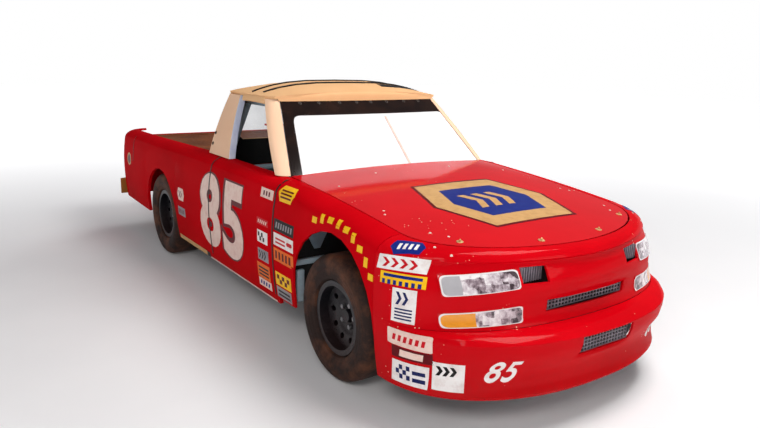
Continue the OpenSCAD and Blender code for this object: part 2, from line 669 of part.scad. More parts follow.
// Engine: one plain block with heads, pan and air cleaner.
engine_x = [862, 1490];
module engine() {
    m = (engine_x[0] + engine_x[1]) / 2;
    color("dimgray") union() {
        block(engine_x, [-210, 210], [330, 640]);
        block([engine_x[0] + 40, engine_x[1] - 120], [-150, 150], [230, 330]);
        both_sides() translate([engine_x[0] + 30, 120, 520]) rotate([-45, 0, 0]) translate([0, -40, 40])
            cube([520, 160, 190]);
        block([engine_x[0] + 120, engine_x[1] - 140], [-130, 130], [640, 820]);
        translate([m - 10, 0, 820]) cylinder(h = 90, r = 190);
    }
}
module driveline() {
    pinion_x = rear_axle_x + 330;
    color("gray") union() {
        block([320, engine_x[0] - seat_gap], [-110, 110], [270, 430]);
        rod([pinion_x + seat_gap, 0, axle_z], [320, 0, axle_z], 38);
    }
}
exhaust_r = 34;
exhaust_y = 560;
exhaust_z = 128;
port = [1150, 300, 530];
port_out = [0, sqrt(0.5), -sqrt(0.5)];
module pipe_run(points) {
    for (i = [0:len(points) - 2]) rod(points[i], points[i + 1], exhaust_r);
    for (i = [1:len(points) - 2]) translate(points[i]) sphere(r = exhaust_r + 2);
}
module exhaust() {
    head = [port + 0.5 * port_out, port + 60 * port_out, [960, exhaust_y, exhaust_z]];
    color("darkgray") union() {
        pipe_run(concat(head, [[85, exhaust_y, exhaust_z], [85, -exhaust_y, exhaust_z]]));
        mirrored_y() pipe_run(concat(head, [[-130, exhaust_y, exhaust_z]]));
        // flat outlets that end under the right door
        for (x = [-230, 10]) difference() {
            block([x, x + 150], [-745, -exhaust_y + 60], [exhaust_z - 26, exhaust_z + 26]);
            block([x + 4, x + 146], [-746, -640], [exhaust_z - 22, exhaust_z + 22]);
        }
    }
}
module radiator() {
    color("dimgray") {
        block([front_end_x - 90, front_end_x - 30], [-330, 330], [rail_top_z + 30, 740]);
        both_sides() block([front_end_x - 88, front_end_x - 32], [330 + seat_gap, 384],
            [rail_top_z + seat_gap, 740]);
    }
}
module fuel_cell() {
    color("dimgray") {
        block([rear_end_x + 20, rear_end_x + 560], [-420, 420], [280, 560]);
        both_sides() block([rear_end_x + 200, rear_end_x + 260],
            [420 + seat_gap, rear_rail_y - seat_gap], [480, 510]);
    }
}

// Front suspension. The pins of the arms turn in the knuckles.
pin_r = 12;
pin_slack = 0.05;
arm_z = 150;
module front_arms() {
    color("lightslategray") both_sides() {
        for (s = [-1, 1]) {
            z = axle_z + s * arm_z;
            y0 = s < 0 ? front_rail_y + rail_w : front_rail_y + 60;
            spread_x = s < 0 ? 120 : 30;
            translate([front_axle_x, kingpin_y, z - (s < 0 ? 13 : 12)]) cylinder(h = 25, r = 27);
            translate([front_axle_x, kingpin_y, z - (s < 0 ? 0 : 40)]) cylinder(h = 40, r = pin_r);
            for (e = [-1, 1]) rod([front_axle_x + e * spread_x, y0 + (s < 0 ? 4.8 : 1.3), z],
                [front_axle_x + e * 8, kingpin_y - 14, z], 11);
        }
    }
}
// Wheel corners are built about the wheel's middle, with +Y outward.
spindle_r = 25;
upright_y = [-100, -48];
steer_arm_x = 100;
steer_arm_z = 18;
module at_front_left() { translate([front_axle_x, tyre_mid_y, axle_z]) children(); }
module at_rear_left() { translate([rear_axle_x, tyre_mid_y, axle_z]) children(); }
module along_y(r, y0, y1) { translate([0, y0, 0]) rotate([-90, 0, 0]) cylinder(h = y1 - y0, r = r); }
module caliper() {
    difference() {
        intersection() { block([-166, -92], [-76, 10], [-58, 58]); along_y(rim_r - 22, -80, 20); }
        along_y(disc_r + 5, -46, -6);
        along_y(70, -80, 20);
    }
    block([-96, -40], [-76, -52], [-40, 40]);
}
module upright() {
    difference() {
        union() {
            block([-42, 42], upright_y, [-arm_z + 14, arm_z - 14]);
            along_y(spindle_r, upright_y[1] - 1, 20);
            block([0, steer_arm_x], [-88, -64], [steer_arm_z - 8, steer_arm_z + 8]);
            translate([steer_arm_x, -76, steer_arm_z - 8]) cylinder(h = 16, r = 16);
            intersection() { caliper(); block([-400, 0], [-200, 200], [-200, 200]); }
        }
        for (s = [-1, 1]) translate([0, -kingpin_in, s * (arm_z - 20) - 26])
            cylinder(h = 52, r = pin_r + pin_slack);
    }
}
module knuckle_left() { color("gray") at_front_left() upright(); }
module hub() {
    nut_r = nut_circle_d / 2;
    difference() {
        union() {
            along_y(disc_r, -40, -12);
            along_y(86, -13, wheel_seat_y - seat_gap);
            along_y(36, 0, 58);
            for (i = [0:4]) rotate([0, i * 72, 0]) translate([nut_r, 0, 0]) {
                along_y(7, 0, 34);
                translate([0, 30.6, 0]) rotate([-90, 0, 0]) cylinder(h = 18, r = 14, $fn = 6);
            }
        }
        along_y(spindle_r + pin_slack, -60, 28);
    }
}
wheel_seat_y = 22;
// Steel wheel: a barrel with its lips, a dished disc, five nut holes and a ring of slots.
// columns: radius, distance out from the wheel's middle
lip_half = [[rim_r, 0], [rim_r, 100], [rim_r, 109], [rim_r + 15, 109], [rim_r + 15, 117],
    [rim_r - 14, 117], [rim_r - 16, 100], [rim_r - 16, 0]];
disc_section = [[42, 22], [92, 22], [118, 36], [176, 52], [176, 60], [115, 44], [90, 30], [42, 30]];
slot_count = 10;
module steel_wheel() {
    rotate([-90, 0, 0]) difference() {
        union() {
            rotate_extrude() polygon(concat([for (p = lip_half) p],
                [for (i = [len(lip_half) - 1:-1:0]) [lip_half[i][0], -lip_half[i][1]]]));
            rotate_extrude() polygon(disc_section);
        }
        for (i = [0:4]) rotate([0, 0, -i * 72]) translate([nut_circle_d / 2, 0, 10])
            cylinder(h = 40, r = 8);
        for (i = [0:slot_count - 1]) rotate([0, 0, i * 360 / slot_count]) translate([136, 0, 20])
            cylinder(h = 60, r = 17);
    }
}
// columns: radius, distance out from the tyre's middle
function tyre_half(w) = [[rim_r + seat_gap, 0], [rim_r + seat_gap, 108.7], [rim_r + 18, 108.7],
    [rim_r + 26, w - 18], [258, w - 3], [296, w], [tyre_r - 27, w - 6],
                         [tyre_r - 10, w - 20], [tyre_r - 2, w - 36], [tyre_r, w - 56], [tyre_r, 0]];
module tyre() {
    h = tyre_half(tyre_w / 2);
    rotate([-90, 0, 0]) rotate_extrude($fn = 72)
        polygon(concat([for (i = [1:len(h) - 2]) h[i]], [for (i = [len(h) - 2:-1:1]) [h[i][0], -h[i][1]]]));
}
module tyre_front_left() { color("black") at_front_left() tyre(); }
module tyre_rear_left() { color("black") at_rear_left() tyre(); }
module wheel_front_left() { color("dimgray") at_front_left() { steel_wheel(); hub(); } }
module wheel_rear_left() { color("dimgray") at_rear_left() { steel_wheel(); hub(); } }
module steering_link() {
    z = axle_z + steer_arm_z - 8.4;
    x = front_axle_x + steer_arm_x;
    y = tyre_mid_y - 76;
    color("gray") {
        rod([x, -y, z - 10], [x, y, z - 10], 9);
        both_sides() translate([x, y, z - 20]) cylinder(h = 20, r = 15);
    }
}
// Rear axle, its arms and springs.
axle_r = 44;
module rear_axle() {
    color("gray") translate([rear_axle_x, 0, axle_z]) union() {
        along_y(axle_r, 48 + 52 - tyre_mid_y, tyre_mid_y - 48 - 52);
        both_sides() {
            translate([0, tyre_mid_y, 0]) {
                along_y(60, -101, -48);
                along_y(spindle_r, -49, 20);
                caliper();
            }
            block([30, 70], [370, 430], [-30, 30]);
        }
        rotate([0, 90, 0]) cylinder(h = 200, r = 150, center = true);
        rotate([0, 90, 0]) cylinder(h = 330, r = 70);
    }
}
module trailing_arms() {
    color("lightslategray") both_sides() {
        rod([rear_axle_x + 75.3, 400, axle_z - 5], [rear_cross_x[0] - 5.3, 330, rail_top_z - 45], 20);
        translate([rear_axle_x, rear_rail_y + rail_w / 2, axle_z + axle_r + seat_gap])
            cylinder(h = rear_rail_z - axle_z - axle_r - 2 * seat_gap, r = 36);
    }
}

// Cab fittings.
dash_x = [600, 742];
dash_z = [790, 955];
wheel_y = 380;
column_tilt = 18;
column_r = 16;
steer_centre = [420, wheel_y, 865];
module column_axis() { translate(steer_centre) rotate([0, 90 + column_tilt, 0]) children(); }
module dash() {
    color("dimgray") difference() {
        union() {
            block(dash_x, [-590, 590], dash_z);
            block([dash_x[1] - 60, firewall_x[0] - seat_gap], [-500, 500], [840, 900]);
        }
        column_axis() cylinder(h = 330, r = column_r + pin_slack);
    }
}
module steering_wheel() {
    color("black") column_axis() union() {
        rotate_extrude() translate([175, 0]) circle(r = 13);
        for (i = [0:2]) rotate([0, 0, i * 120 + 180]) translate([0, -14, -4]) cube([172, 28, 8]);
        translate([0, 0, -12]) cylinder(h = 30, r = 42);
        cylinder(h = 300, r = column_r);
    }
}
seat_y = 400;
module seat() {
    z0 = floor_z + floor_t + seat_gap;
    color("dimgray") union() {
        block([-40, 400], [seat_y - 180, seat_y + 180], [z0, z0 + 110]);
        both_edges() block([-20, 400], [190, 215], [z0 + 20, z0 + 230]);
        translate([0, seat_y, z0 + 60]) rotate([0, -10, 0]) {
            block([-50, 10], [-200, 200], [0, 620]);
            for (s = [-1, 1]) block([-40, 130], [s * 205 - 14, s * 205 + 14], [40, 480]);
            block([-48, 20], [-110, 110], [610, 780]);
            for (s = [-1, 1]) block([-48, 130], [s * 122 - 12, s * 122 + 12], [610, 770]);
        }
    }
}
module both_edges() { translate([0, seat_y, 0]) both_sides() children(); }

// Right-hand pieces mirror the left-hand ones.
module wing_right() { mirrored_y() wing_left(); }
module door_right() { mirrored_y() door_left(); }
module bed_side_right() { mirrored_y() bed_side_left(); }
module knuckle_right() { mirrored_y() knuckle_left(); }
module tyre_front_right() { mirrored_y() tyre_front_left(); }
module tyre_rear_right() { mirrored_y() tyre_rear_left(); }
module wheel_front_right() { mirrored_y() wheel_front_left(); }
module wheel_rear_right() { mirrored_y() wheel_rear_left(); }

frame();
roll_cage();
floor_pan();
bulkheads();
cowl();
engine();
driveline();
exhaust();
radiator();
fuel_cell();
front_arms();
knuckle_right();
knuckle_left();
rear_axle();
trailing_arms();
steering_link();
tyre_front_right();
tyre_front_left();
tyre_rear_right();
tyre_rear_left();
wheel_front_right();
wheel_front_left();
wheel_rear_right();
wheel_rear_left();
bumper_cover();
grille_panel();
grilles();
headlamps();
turn_lamps();
hood();
wing_right();
wing_left();
door_right();
door_left();
bed_side_right();
bed_side_left();
sills();
tailgate();
rear_bumper();
bed_cover();
roof();
a_pillars();
cab_corners();
cab_back();
windshield();
rear_window();
window_net();
dash();
seat();
steering_wheel();
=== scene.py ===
"""Race truck: paint, glass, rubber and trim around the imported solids. Metres, +X forward, +Y left, +Z up."""

import json
import math

import bpy
from mathutils import Matrix, Vector

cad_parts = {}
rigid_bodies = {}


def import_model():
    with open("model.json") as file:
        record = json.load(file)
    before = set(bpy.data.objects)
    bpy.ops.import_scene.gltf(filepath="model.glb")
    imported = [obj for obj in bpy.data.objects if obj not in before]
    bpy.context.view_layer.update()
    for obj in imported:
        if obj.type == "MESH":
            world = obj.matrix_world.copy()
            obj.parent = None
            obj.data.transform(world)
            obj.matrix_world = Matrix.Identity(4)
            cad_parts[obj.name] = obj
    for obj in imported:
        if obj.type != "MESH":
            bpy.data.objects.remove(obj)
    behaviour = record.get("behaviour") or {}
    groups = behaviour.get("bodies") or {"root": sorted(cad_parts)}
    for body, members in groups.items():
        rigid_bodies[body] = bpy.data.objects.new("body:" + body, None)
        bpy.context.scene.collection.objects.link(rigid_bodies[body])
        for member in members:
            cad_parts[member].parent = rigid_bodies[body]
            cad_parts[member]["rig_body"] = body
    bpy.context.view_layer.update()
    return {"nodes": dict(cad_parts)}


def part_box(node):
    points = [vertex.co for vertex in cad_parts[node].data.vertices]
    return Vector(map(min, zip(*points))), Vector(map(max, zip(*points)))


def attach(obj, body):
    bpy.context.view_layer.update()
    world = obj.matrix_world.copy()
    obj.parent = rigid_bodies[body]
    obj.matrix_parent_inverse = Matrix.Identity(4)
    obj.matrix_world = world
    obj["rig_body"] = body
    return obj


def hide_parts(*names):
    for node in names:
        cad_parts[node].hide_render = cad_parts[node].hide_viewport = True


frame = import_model()

# Studio: a pale floor, soft panels of light overhead and to the sides, and the camera.
# The camera stands low off the right front corner and is tipped by a degree and a half.


def plug(tree, socket, value):
    """Sets an input, or links it where the value is another node's socket."""
    if isinstance(value, bpy.types.NodeSocket):
        tree.links.new(value, socket)
    else:
        socket.default_value = value


def knot(tree, kind, inputs=None, **settings):
    """Adds a shader node with its settings and inputs."""
    made = tree.nodes.new("ShaderNode" + kind)
    for name, value in settings.items():
        setattr(made, name, value)
    for socket, value in (inputs or {}).items():
        plug(tree, made.inputs[socket], value)
    return made


def feed(tree, **sockets):
    """Plugs the main shader's own sockets, named with _ for a space."""
    for name, value in sockets.items():
        plug(tree, tree.nodes["Principled BSDF"].inputs[name.replace("_", " ")], value)


def cloud(tree, at, scale, detail, rough=0.5):
    """Cloudy noise, as one value."""
    return knot(tree, "TexNoise", {"Vector": at, "Scale": scale, "Detail": detail, "Roughness": rough}).outputs["Fac"]


def spread(tree, value, start, stop, low=0.0, high=1.0):
    """Maps start to stop on low to high, and holds at both ends."""
    sockets = {"Value": value, "From Min": start, "From Max": stop, "To Min": low, "To Max": high}
    return knot(tree, "MapRange", sockets).outputs["Result"]


def shades(tree, value, stops):
    """A run of colours, each at its place from 0 to 1."""
    ramp = knot(tree, "ValToRGB", {"Fac": value})
    row = ramp.color_ramp.elements
    row[0].position, row[1].position = stops[0][0], stops[-1][0]
    row[0].color, row[1].color = stops[0][1], stops[-1][1]
    for place, colour in stops[1:-1]:
        row.new(place).color = colour
    return ramp.outputs["Color"]


def blend(tree, share, first, second):
    """Two colours, mixed by a share of the second."""
    return knot(tree, "MixRGB", {"Fac": share, "Color1": first, "Color2": second}).outputs["Color"]


def axes(tree, vector):
    """The X, Y and Z of a place."""
    return knot(tree, "SeparateXYZ", {"Vector": vector}).outputs


def tone(red, green, blue):
    """A colour as a paint chart gives it, 0 to 255, in the shader's linear numbers."""
    shares = (c / 255 for c in (red, green, blue))
    return tuple(((c + 0.055) / 1.055) ** 2.4 if c > 0.0393 else c / 12.92 for c in shares) + (1.0,)


def new_finish(name):
    """A new material, its nodes, and the place on the piece that its patterns follow."""
    made = bpy.data.materials.new(name)
    made.use_nodes = True
    return made, made.node_tree, knot(made.node_tree, "TexCoord").outputs["Object"]


def clear_selection():
    """Leaves edit mode with nothing selected, before a new piece is started."""
    if bpy.context.object and bpy.context.object.mode != "OBJECT":
        bpy.ops.object.mode_set(mode="OBJECT")
    bpy.ops.object.select_all(action="DESELECT")


def start(add, name, **settings):
    """A new piece from one of Blender's own starting shapes, alone in the selection."""
    clear_selection()
    add(**settings)
    bpy.context.object.name = name
    return bpy.context.object


floor = start(bpy.ops.mesh.primitive_plane_add, "studio_floor", size=60)
floor_paper, tree, at = new_finish("floor_paper")
mottle = shades(tree, cloud(tree, at, 1.4, 5.0), [(0, tone(238, 238, 240)), (1, tone(246, 246, 247))])
away = knot(tree, "VectorMath", {0: at}, operation="LENGTH").outputs["Value"]
feed(tree, Base_Color=mottle, Roughness=0.85, Specular_IOR_Level=0.2, Emission_Color=(1, 1, 1, 1),
     Emission_Strength=spread(tree, away, 2.6, 8.0, 0.03, 0.8))
floor.data.materials.append(floor_paper)

world = bpy.data.worlds.new("studio_air")
world.use_nodes = True
air = world.node_tree
rise = axes(air, knot(air, "TexCoord").outputs["Generated"])["Z"]
glow = shades(air, rise, [(0.08, (0.8, 0.8, 0.81, 1)), (0.15, (0.22, 0.22, 0.23, 1))])
backdrop = blend(air, knot(air, "LightPath").outputs["Is Camera Ray"], glow, (1, 1, 1, 1))
air.links.new(backdrop, air.nodes["Background"].inputs["Color"])
bpy.context.scene.world = world
bpy.context.scene.view_settings.view_transform = "Standard"

# columns: name, place, aimed at, width, height, watts, warmth
for name, at, aim, wide, high, watts, warmth in [
    ("key_panel", (5.4, -4.6, 4.4), (1.2, -0.4, 0.6), 2.6, 1.8, 135, 0.97),
    ("top_panel", (2.8, 1.3, 5.4), (0.9, 0.0, 0.8), 3.0, 2.0, 238, 0.98),
    ("nose_panel", (7.5, 1.8, 3.2), (2.0, 0.0, 0.6), 2.4, 1.6, 32, 1.0),
    ("rear_panel", (-5.0, 3.6, 3.6), (-1.2, 0.2, 0.7), 3.0, 2.0, 90, 1.0),
]:
    panel = start(bpy.ops.object.light_add, name, type="AREA", location=at)
    panel.data.shape = "RECTANGLE"
    panel.data.size, panel.data.size_y = wide, high
    panel.data.energy = watts
    panel.data.color = (1.0, warmth, warmth * warmth)
    panel.visible_glossy = name != "rear_panel"
    panel.rotation_euler = (Vector(aim) - Vector(at)).to_track_quat("-Z", "Y").to_euler()

eye, view_turn, view_drop, view_tip = (4.5445, -2.7117, 1.7362), 0.612103, 0.226976, 0.026583
level, fall = math.cos(view_drop), math.sin(view_drop)
sight = -Vector((math.cos(view_turn) * level, -math.sin(view_turn) * level, fall))
across = sight.cross(Vector((0, 0, 1))).normalized()
upward = across.cross(sight)
tip_c, tip_s = math.cos(view_tip), math.sin(view_tip)
across, upward = tip_c * across + tip_s * upward, tip_c * upward - tip_s * across
camera = start(bpy.ops.object.camera_add, "camera")
camera.matrix_world = Matrix.Translation(eye) @ Matrix((across, upward, -sight)).transposed().to_4x4()
camera.data.sensor_width = 36.0
camera.data.lens = 685.68 / 760 * 36.0
camera.data.clip_end = 200
bpy.context.scene.camera = camera

# Chassis: box rails, cross tubes and a welded tube cage round the driver.
# Mild steel tube, notched and welded by hand, brushed over with pale blue-grey enamel and dusty below.


def reckon(tree, operation, *values):
    """Plain arithmetic on numbers or sockets."""
    return knot(tree, "Math", dict(enumerate(values)), operation=operation).outputs["Value"]


def bumps(tree, height, strength, depth, **under):
    """A skin that isn't quite flat, over another one if its Normal is given."""
    sockets = {"Height": height, "Strength": strength, "Distance": depth, **under}
    return knot(tree, "Bump", sockets).outputs["Normal"]


def worn_finish(name, main, other, grain, rough, metal, dents, dirt=None, dirt_top=0.5, shine=0.5):
    """A paint or metal with cloudy colour, uneven gloss and a dented skin; dirt settles below dirt_top."""
    made, tree, at = new_finish(name)
    colour = shades(tree, cloud(tree, at, grain, 6.0, 0.62), [(0.34, tone(*main)), (0.66, tone(*other))])
    fine = cloud(tree, at, grain * 11, 4.0)
    if dirt:
        low = spread(tree, axes(tree, at)["Z"], dirt_top, 0.08, 0.0, 0.75)
        colour = blend(tree, reckon(tree, "MULTIPLY", low, fine), colour, tone(*dirt))
    feed(tree, Base_Color=colour, Roughness=spread(tree, fine, 0.3, 0.7, *rough), Metallic=metal,
         Normal=bumps(tree, fine, dents, 0.0015), Specular_IOR_Level=shine)
    return made


def smooth(crease):
    """Smooths the active piece where its faces meet below the crease angle."""
    bpy.ops.object.shade_smooth_by_angle(angle=math.radians(crease))


def dress(node, finish, crease=35):
    """A merged, smooth copy of a solid that stands for it on the same body."""
    clear_selection()
    piece = bpy.data.objects.new(node + "_skin", frame["nodes"][node].data.copy())
    bpy.context.collection.objects.link(piece)
    piece.select_set(True)
    bpy.context.view_layer.objects.active = piece
    bpy.ops.mesh.customdata_custom_splitnormals_clear()
    bpy.ops.object.mode_set(mode="EDIT")
    bpy.ops.mesh.select_all(action="SELECT")
    bpy.ops.mesh.remove_doubles(threshold=2e-5)
    bpy.ops.object.mode_set(mode="OBJECT")
    smooth(crease)
    piece.data.materials.clear()
    piece.data.materials.append(finish)
    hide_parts(node)
    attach(piece, frame["nodes"][node]["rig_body"])
    return piece


road_dust = (112, 92, 70)
chassis_enamel = worn_finish("chassis_enamel", (150, 174, 188), (178, 198, 210), 5.0, (0.3, 0.5), 0.0, 0.2,
                             road_dust, 0.7)
for node in ("frame", "roll_cage"):
    dress(node, chassis_enamel)

# Tinwork: the floor, the firewalls and the cowl tray are folded from sheet alloy and riveted to the tubes.
# Bare metal, dulled by handling, with a faint swirl left by the scouring pad.
sheet_alloy = worn_finish("sheet_alloy", (150, 158, 160), (182, 188, 190), 9.0, (0.3, 0.5), 0.85, 0.3, road_dust)
for node in ("floor_pan", "bulkheads", "cowl", "radiator"):
    dress(node, sheet_alloy)

# Running gear: engine block, gearbox and shaft, axle, arms, knuckles and link.
# Castings and forgings under a film of oil and dust; the pipes have gone brown and blue with heat.
cast_iron = worn_finish("cast_iron", (52, 52, 54), (78, 76, 74), 14.0, (0.45, 0.7), 0.55, 0.6, road_dust, 0.6)
forged_steel = worn_finish("forged_steel", (96, 98, 100), (128, 128, 126), 12.0, (0.3, 0.5), 0.9, 0.35, road_dust)
burnt_pipe = worn_finish("burnt_pipe", (104, 84, 66), (138, 124, 112), 4.0, (0.35, 0.55), 0.8, 0.3, road_dust, 0.4)
tank_black = worn_finish("tank_black", (28, 28, 30), (44, 44, 46), 7.0, (0.4, 0.6), 0.0, 0.3, road_dust)
for node, finish, slot in [
    ("engine", cast_iron, "cast_dark"), ("driveline", cast_iron, "cast_dark"), ("exhaust", burnt_pipe, "steel"),
    ("fuel_cell", tank_black, "cast_dark"), ("front_arms", forged_steel, "steel"),
    ("knuckle_right", cast_iron, "cast_dark"), ("knuckle_left", cast_iron, "cast_dark"),
    ("rear_axle", cast_iron, "cast_dark"), ("trailing_arms", chassis_enamel, "chassis_grey"),
    ("steering_link", forged_steel, "steel"),
]:
    dress(node, finish)

# Tyres: wide smooth race tyres, moulded in black rubber and scuffed brown by the track.
# The tread has no blocks; the shoulder is round and the side wall carries shallow mould rings.


def rubber_finish(name, hub):
    """Black rubber with brown dust, fine scuffs over the tread and rings round the hub on the side wall."""
    made, tree, at = new_finish(name)
    centred = knot(tree, "Mapping", {"Vector": at, "Location": (-hub.x, 0.0, -hub.z)}).outputs["Vector"]
    part = axes(tree, centred)
    flat = knot(tree, "CombineXYZ", {"X": part["X"], "Z": part["Z"]}).outputs["Vector"]
    reach = knot(tree, "VectorMath", {0: flat}, operation="LENGTH").outputs["Value"]
    grit = cloud(tree, at, 140.0, 3.0)
    colour = shades(tree, cloud(tree, at, 7.0, 7.0, 0.65), [(0.42, tone(42, 28, 24)), (0.72, tone(104, 64, 44))])
    wave = reckon(tree, "SINE", reckon(tree, "MULTIPLY", reach, 260.0))
    ridge = reckon(tree, "MULTIPLY", wave, spread(tree, reach, 0.325, 0.30))
    skin = bumps(tree, grit, 0.3, 0.001, Normal=bumps(tree, ridge, 0.22, 0.002))
    feed(tree, Base_Color=colour, Roughness=spread(tree, grit, 0.0, 1.0, 0.5, 0.85), Normal=skin,
         Specular_IOR_Level=0.2)
    return made


corners = ("front_right", "front_left", "rear_right", "rear_left")
for corner in corners:
    low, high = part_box("tyre_" + corner)
    dress("tyre_" + corner, rubber_finish("rubber_" + corner, (low + high) / 2), 30)

# Wheels: pressed steel discs welded into rolled rims, with a ring of slots and five nuts.
# Satin black paint, brake dust in the corners and bare steel where the nuts have turned.
wheel_black = worn_finish("wheel_black", (12, 12, 17), (26, 24, 30), 18.0, (0.25, 0.45), 0.1, 0.3, (70, 42, 34), 0.4)
nut_steel = worn_finish("nut_steel", (128, 128, 134), (170, 168, 168), 60.0, (0.25, 0.45), 0.9, 0.3)
for corner in corners:
    wheel = dress("wheel_" + corner, wheel_black, 30)
    wheel.data.materials.append(nut_steel)
    low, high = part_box("wheel_" + corner)
    hub = (low + high) / 2
    for face in wheel.data.polygons:
        reach = math.hypot(face.center.x - hub.x, face.center.z - hub.z)
        if 0.046 < reach < 0.08 and abs(face.center.y) - abs(hub.y) > 0.0305:
            face.material_index = 1

# Nose: a moulded bumper cover and grille panel, hung on the front of the tubes.
# Glass fibre in gloss red enamel, rippled by hand sanding, with stone chips and dust low down.


def enamel_finish(name, main, deep, dust, chips=0.0, ripple=0.12, lacquer=0.1):
    """Sprayed enamel under clear lacquer: a little uneven in tone, dusty at the hem and chipped by stones."""
    made, tree, at = new_finish(name)
    drift = cloud(tree, at, 1.7, 5.0)
    colour = shades(tree, drift, [(0.3, tone(*main)), (0.7, tone(*deep))])
    hem = spread(tree, axes(tree, at)["Z"], 0.5, 0.18, 0.0, 0.42)
    colour = blend(tree, reckon(tree, "MULTIPLY", hem, cloud(tree, at, 38.0, 6.0, 0.7)), colour, tone(*dust))
    if chips:
        cell = knot(tree, "TexVoronoi", {"Vector": at, "Scale": 42.0, "Randomness": 1.0}).outputs["Distance"]
        some = spread(tree, cloud(tree, at, 5.0, 2.0), 0.66 - chips, 0.7 - chips)
        chip = reckon(tree, "MULTIPLY", spread(tree, cell, 0.16, 0.1), some)
        colour = blend(tree, chip, colour, tone(232, 200, 170))
    feed(tree, Base_Color=colour, Roughness=spread(tree, drift, 0.3, 0.75, 0.24, 0.42),
         Normal=bumps(tree, cloud(tree, at, 5.5, 1.0), ripple, 0.02),
         Coat_Weight=lacquer, Coat_Roughness=0.09, Coat_IOR=1.4, Specular_IOR_Level=0.0)
    return made


red_dust = (120, 46, 38)
# the nose's red is a lighter, lit copy of the body red: painted light
red_lit_nose = enamel_finish("red_lit_nose", (212, 5, 20), (190, 3, 15), red_dust, 0.06, 0.12, 0.17)
for node in ("bumper_cover", "grille_panel"):
    dress(node, red_lit_nose, 32)

# Grilles: upright bars beside the lamps, and woven wire in the slot and in the air dam.
# Black stove enamel over steel, greyed by dust; a dark sheet liner behind them closes the nose.


def shape_with(piece, tool, **settings):
    """Adds one modifier to the active piece and applies it."""
    shaper = piece.modifiers.new(tool.lower(), tool)
    for name, value in settings.items():
        setattr(shaper, name, value)
    bpy.ops.object.modifier_apply(modifier=shaper.name)


def face_out():
    """Turns every face of the active piece outwards."""
    bpy.ops.object.mode_set(mode="EDIT")
    bpy.ops.mesh.select_all(action="SELECT")
    bpy.ops.mesh.normals_make_consistent(inside=False)
    bpy.ops.object.mode_set(mode="OBJECT")


def settle(piece, finish, crease=0):
    """Smooths the active piece below the crease angle, gives it its finish and fixes it to the chassis."""
    if crease:
        smooth(crease)
    piece.data.materials.append(finish)
    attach(piece, "chassis")


wire_black = worn_finish("wire_black", (116, 110, 120), (150, 144, 152), 20.0, (0.4, 0.6), 0.3, 0.2)
duct_black = worn_finish("duct_black", (18, 17, 19), (30, 28, 30), 8.0, (0.7, 0.9), 0.0, 0.3)
dress("grilles", wire_black, 30)

liner_back, liner_deep, liner_half, liner_foot, liner_tall, squareness = 1.998, 0.44, 0.87, 0.222, 0.578, 0.87
liner = start(bpy.ops.mesh.primitive_circle_add, "nose_liner", vertices=64, radius=1.0, fill_type="NOTHING")
for corner in liner.data.vertices:
    ahead, aside = corner.co.x, corner.co.y
    corner.co = (liner_back + liner_deep * max(0.0, ahead) ** squareness,
                 math.copysign(liner_half * abs(aside) ** squareness, aside), liner_foot)
bpy.ops.object.mode_set(mode="EDIT")
bpy.ops.mesh.select_all(action="SELECT")
bpy.ops.mesh.extrude_region_move(TRANSFORM_OT_translate={"value": (0, 0, liner_tall)})
face_out()
shape_with(liner, "SOLIDIFY", thickness=0.003)
settle(liner, duct_black)

# Lamps: printed covers stuck flush on the nose, clear with a grey marker, and amber below.
# Gloss film printed with a faceted reflector, with a pale edge round it and red corners left outside.


def lamp_print(name, ends, foot, head, marker_y, marker_tone):
    """A printed lamp: a plain marker outboard of marker_y, a faceted reflector inboard and a pale rounded rim."""
    made, tree, at = new_finish(name)
    part = axes(tree, at)
    out = reckon(tree, "ABSOLUTE", part["Y"])
    smoke = cloud(tree, at, 34.0, 5.0, 0.6)
    flat = knot(tree, "CombineXYZ", {"X": out, "Z": part["Z"]}).outputs["Vector"]
    facet = knot(tree, "TexVoronoi", {"Vector": flat, "Scale": 26.0, "Randomness": 0.75}, distance="CHEBYCHEV")
    mixed = reckon(tree, "MULTIPLY_ADD", axes(tree, facet.outputs["Color"])["X"], 0.45, smoke)
    depth = spread(tree, out, marker_y, ends[0], -0.18, -0.52)
    glass = shades(tree, reckon(tree, "ADD", mixed, depth), [
        (0.14, tone(64, 48, 54)), (0.3, tone(150, 132, 140)), (0.46, tone(208, 196, 202)), (0.66, tone(242, 238, 238))])
    marker = shades(tree, smoke, [(0, tuple(0.82 * c for c in marker_tone[:3]) + (1,)), (1, marker_tone)])
    colour = blend(tree, spread(tree, out, marker_y, marker_y + 0.003), glass, marker)
    low, high = spread(tree, out, *ends, *foot), spread(tree, out, *ends, *head)
    margin = reckon(tree, "SUBTRACT", out, ends[0])
    for longer, shorter in ((ends[1], out), (part["Z"], low), (high, part["Z"])):
        margin = reckon(tree, "SMOOTH_MIN", margin, reckon(tree, "SUBTRACT", longer, shorter), 0.042)
    for near, far, rim_tone in ((0.005, 0.004, tone(232, 226, 226)), (-0.001, -0.002, tone(204, 4, 18))):
        colour = blend(tree, spread(tree, margin, near, far), colour, rim_tone)
    ribs = reckon(tree, "SINE", reckon(tree, "MULTIPLY", out, 520.0))
    feed(tree, Base_Color=colour, Roughness=spread(tree, smoke, 0.0, 1.0, 0.1, 0.24),
         Normal=bumps(tree, ribs, 0.08, 0.001), Coat_Weight=0.3, Coat_Roughness=0.04)
    return made


# columns: node, ends, foot and head of the print, where the marker starts, its colour, slot
for node, ends, foot, head, marker_y, marker_tone, slot in [
    ("headlamps", (0.445, 0.78), (0.706, 0.676), (0.792, 0.768), 0.7, tone(184, 182, 186), "lamp_clear"),
    ("turn_lamps", (0.424, 0.793), (0.54, 0.532), (0.62, 0.597), 0.648, tone(244, 158, 36), "lamp_amber"),
]:
    dress(node, lamp_print(node + "_print", ends, foot, head, marker_y, marker_tone), 30)
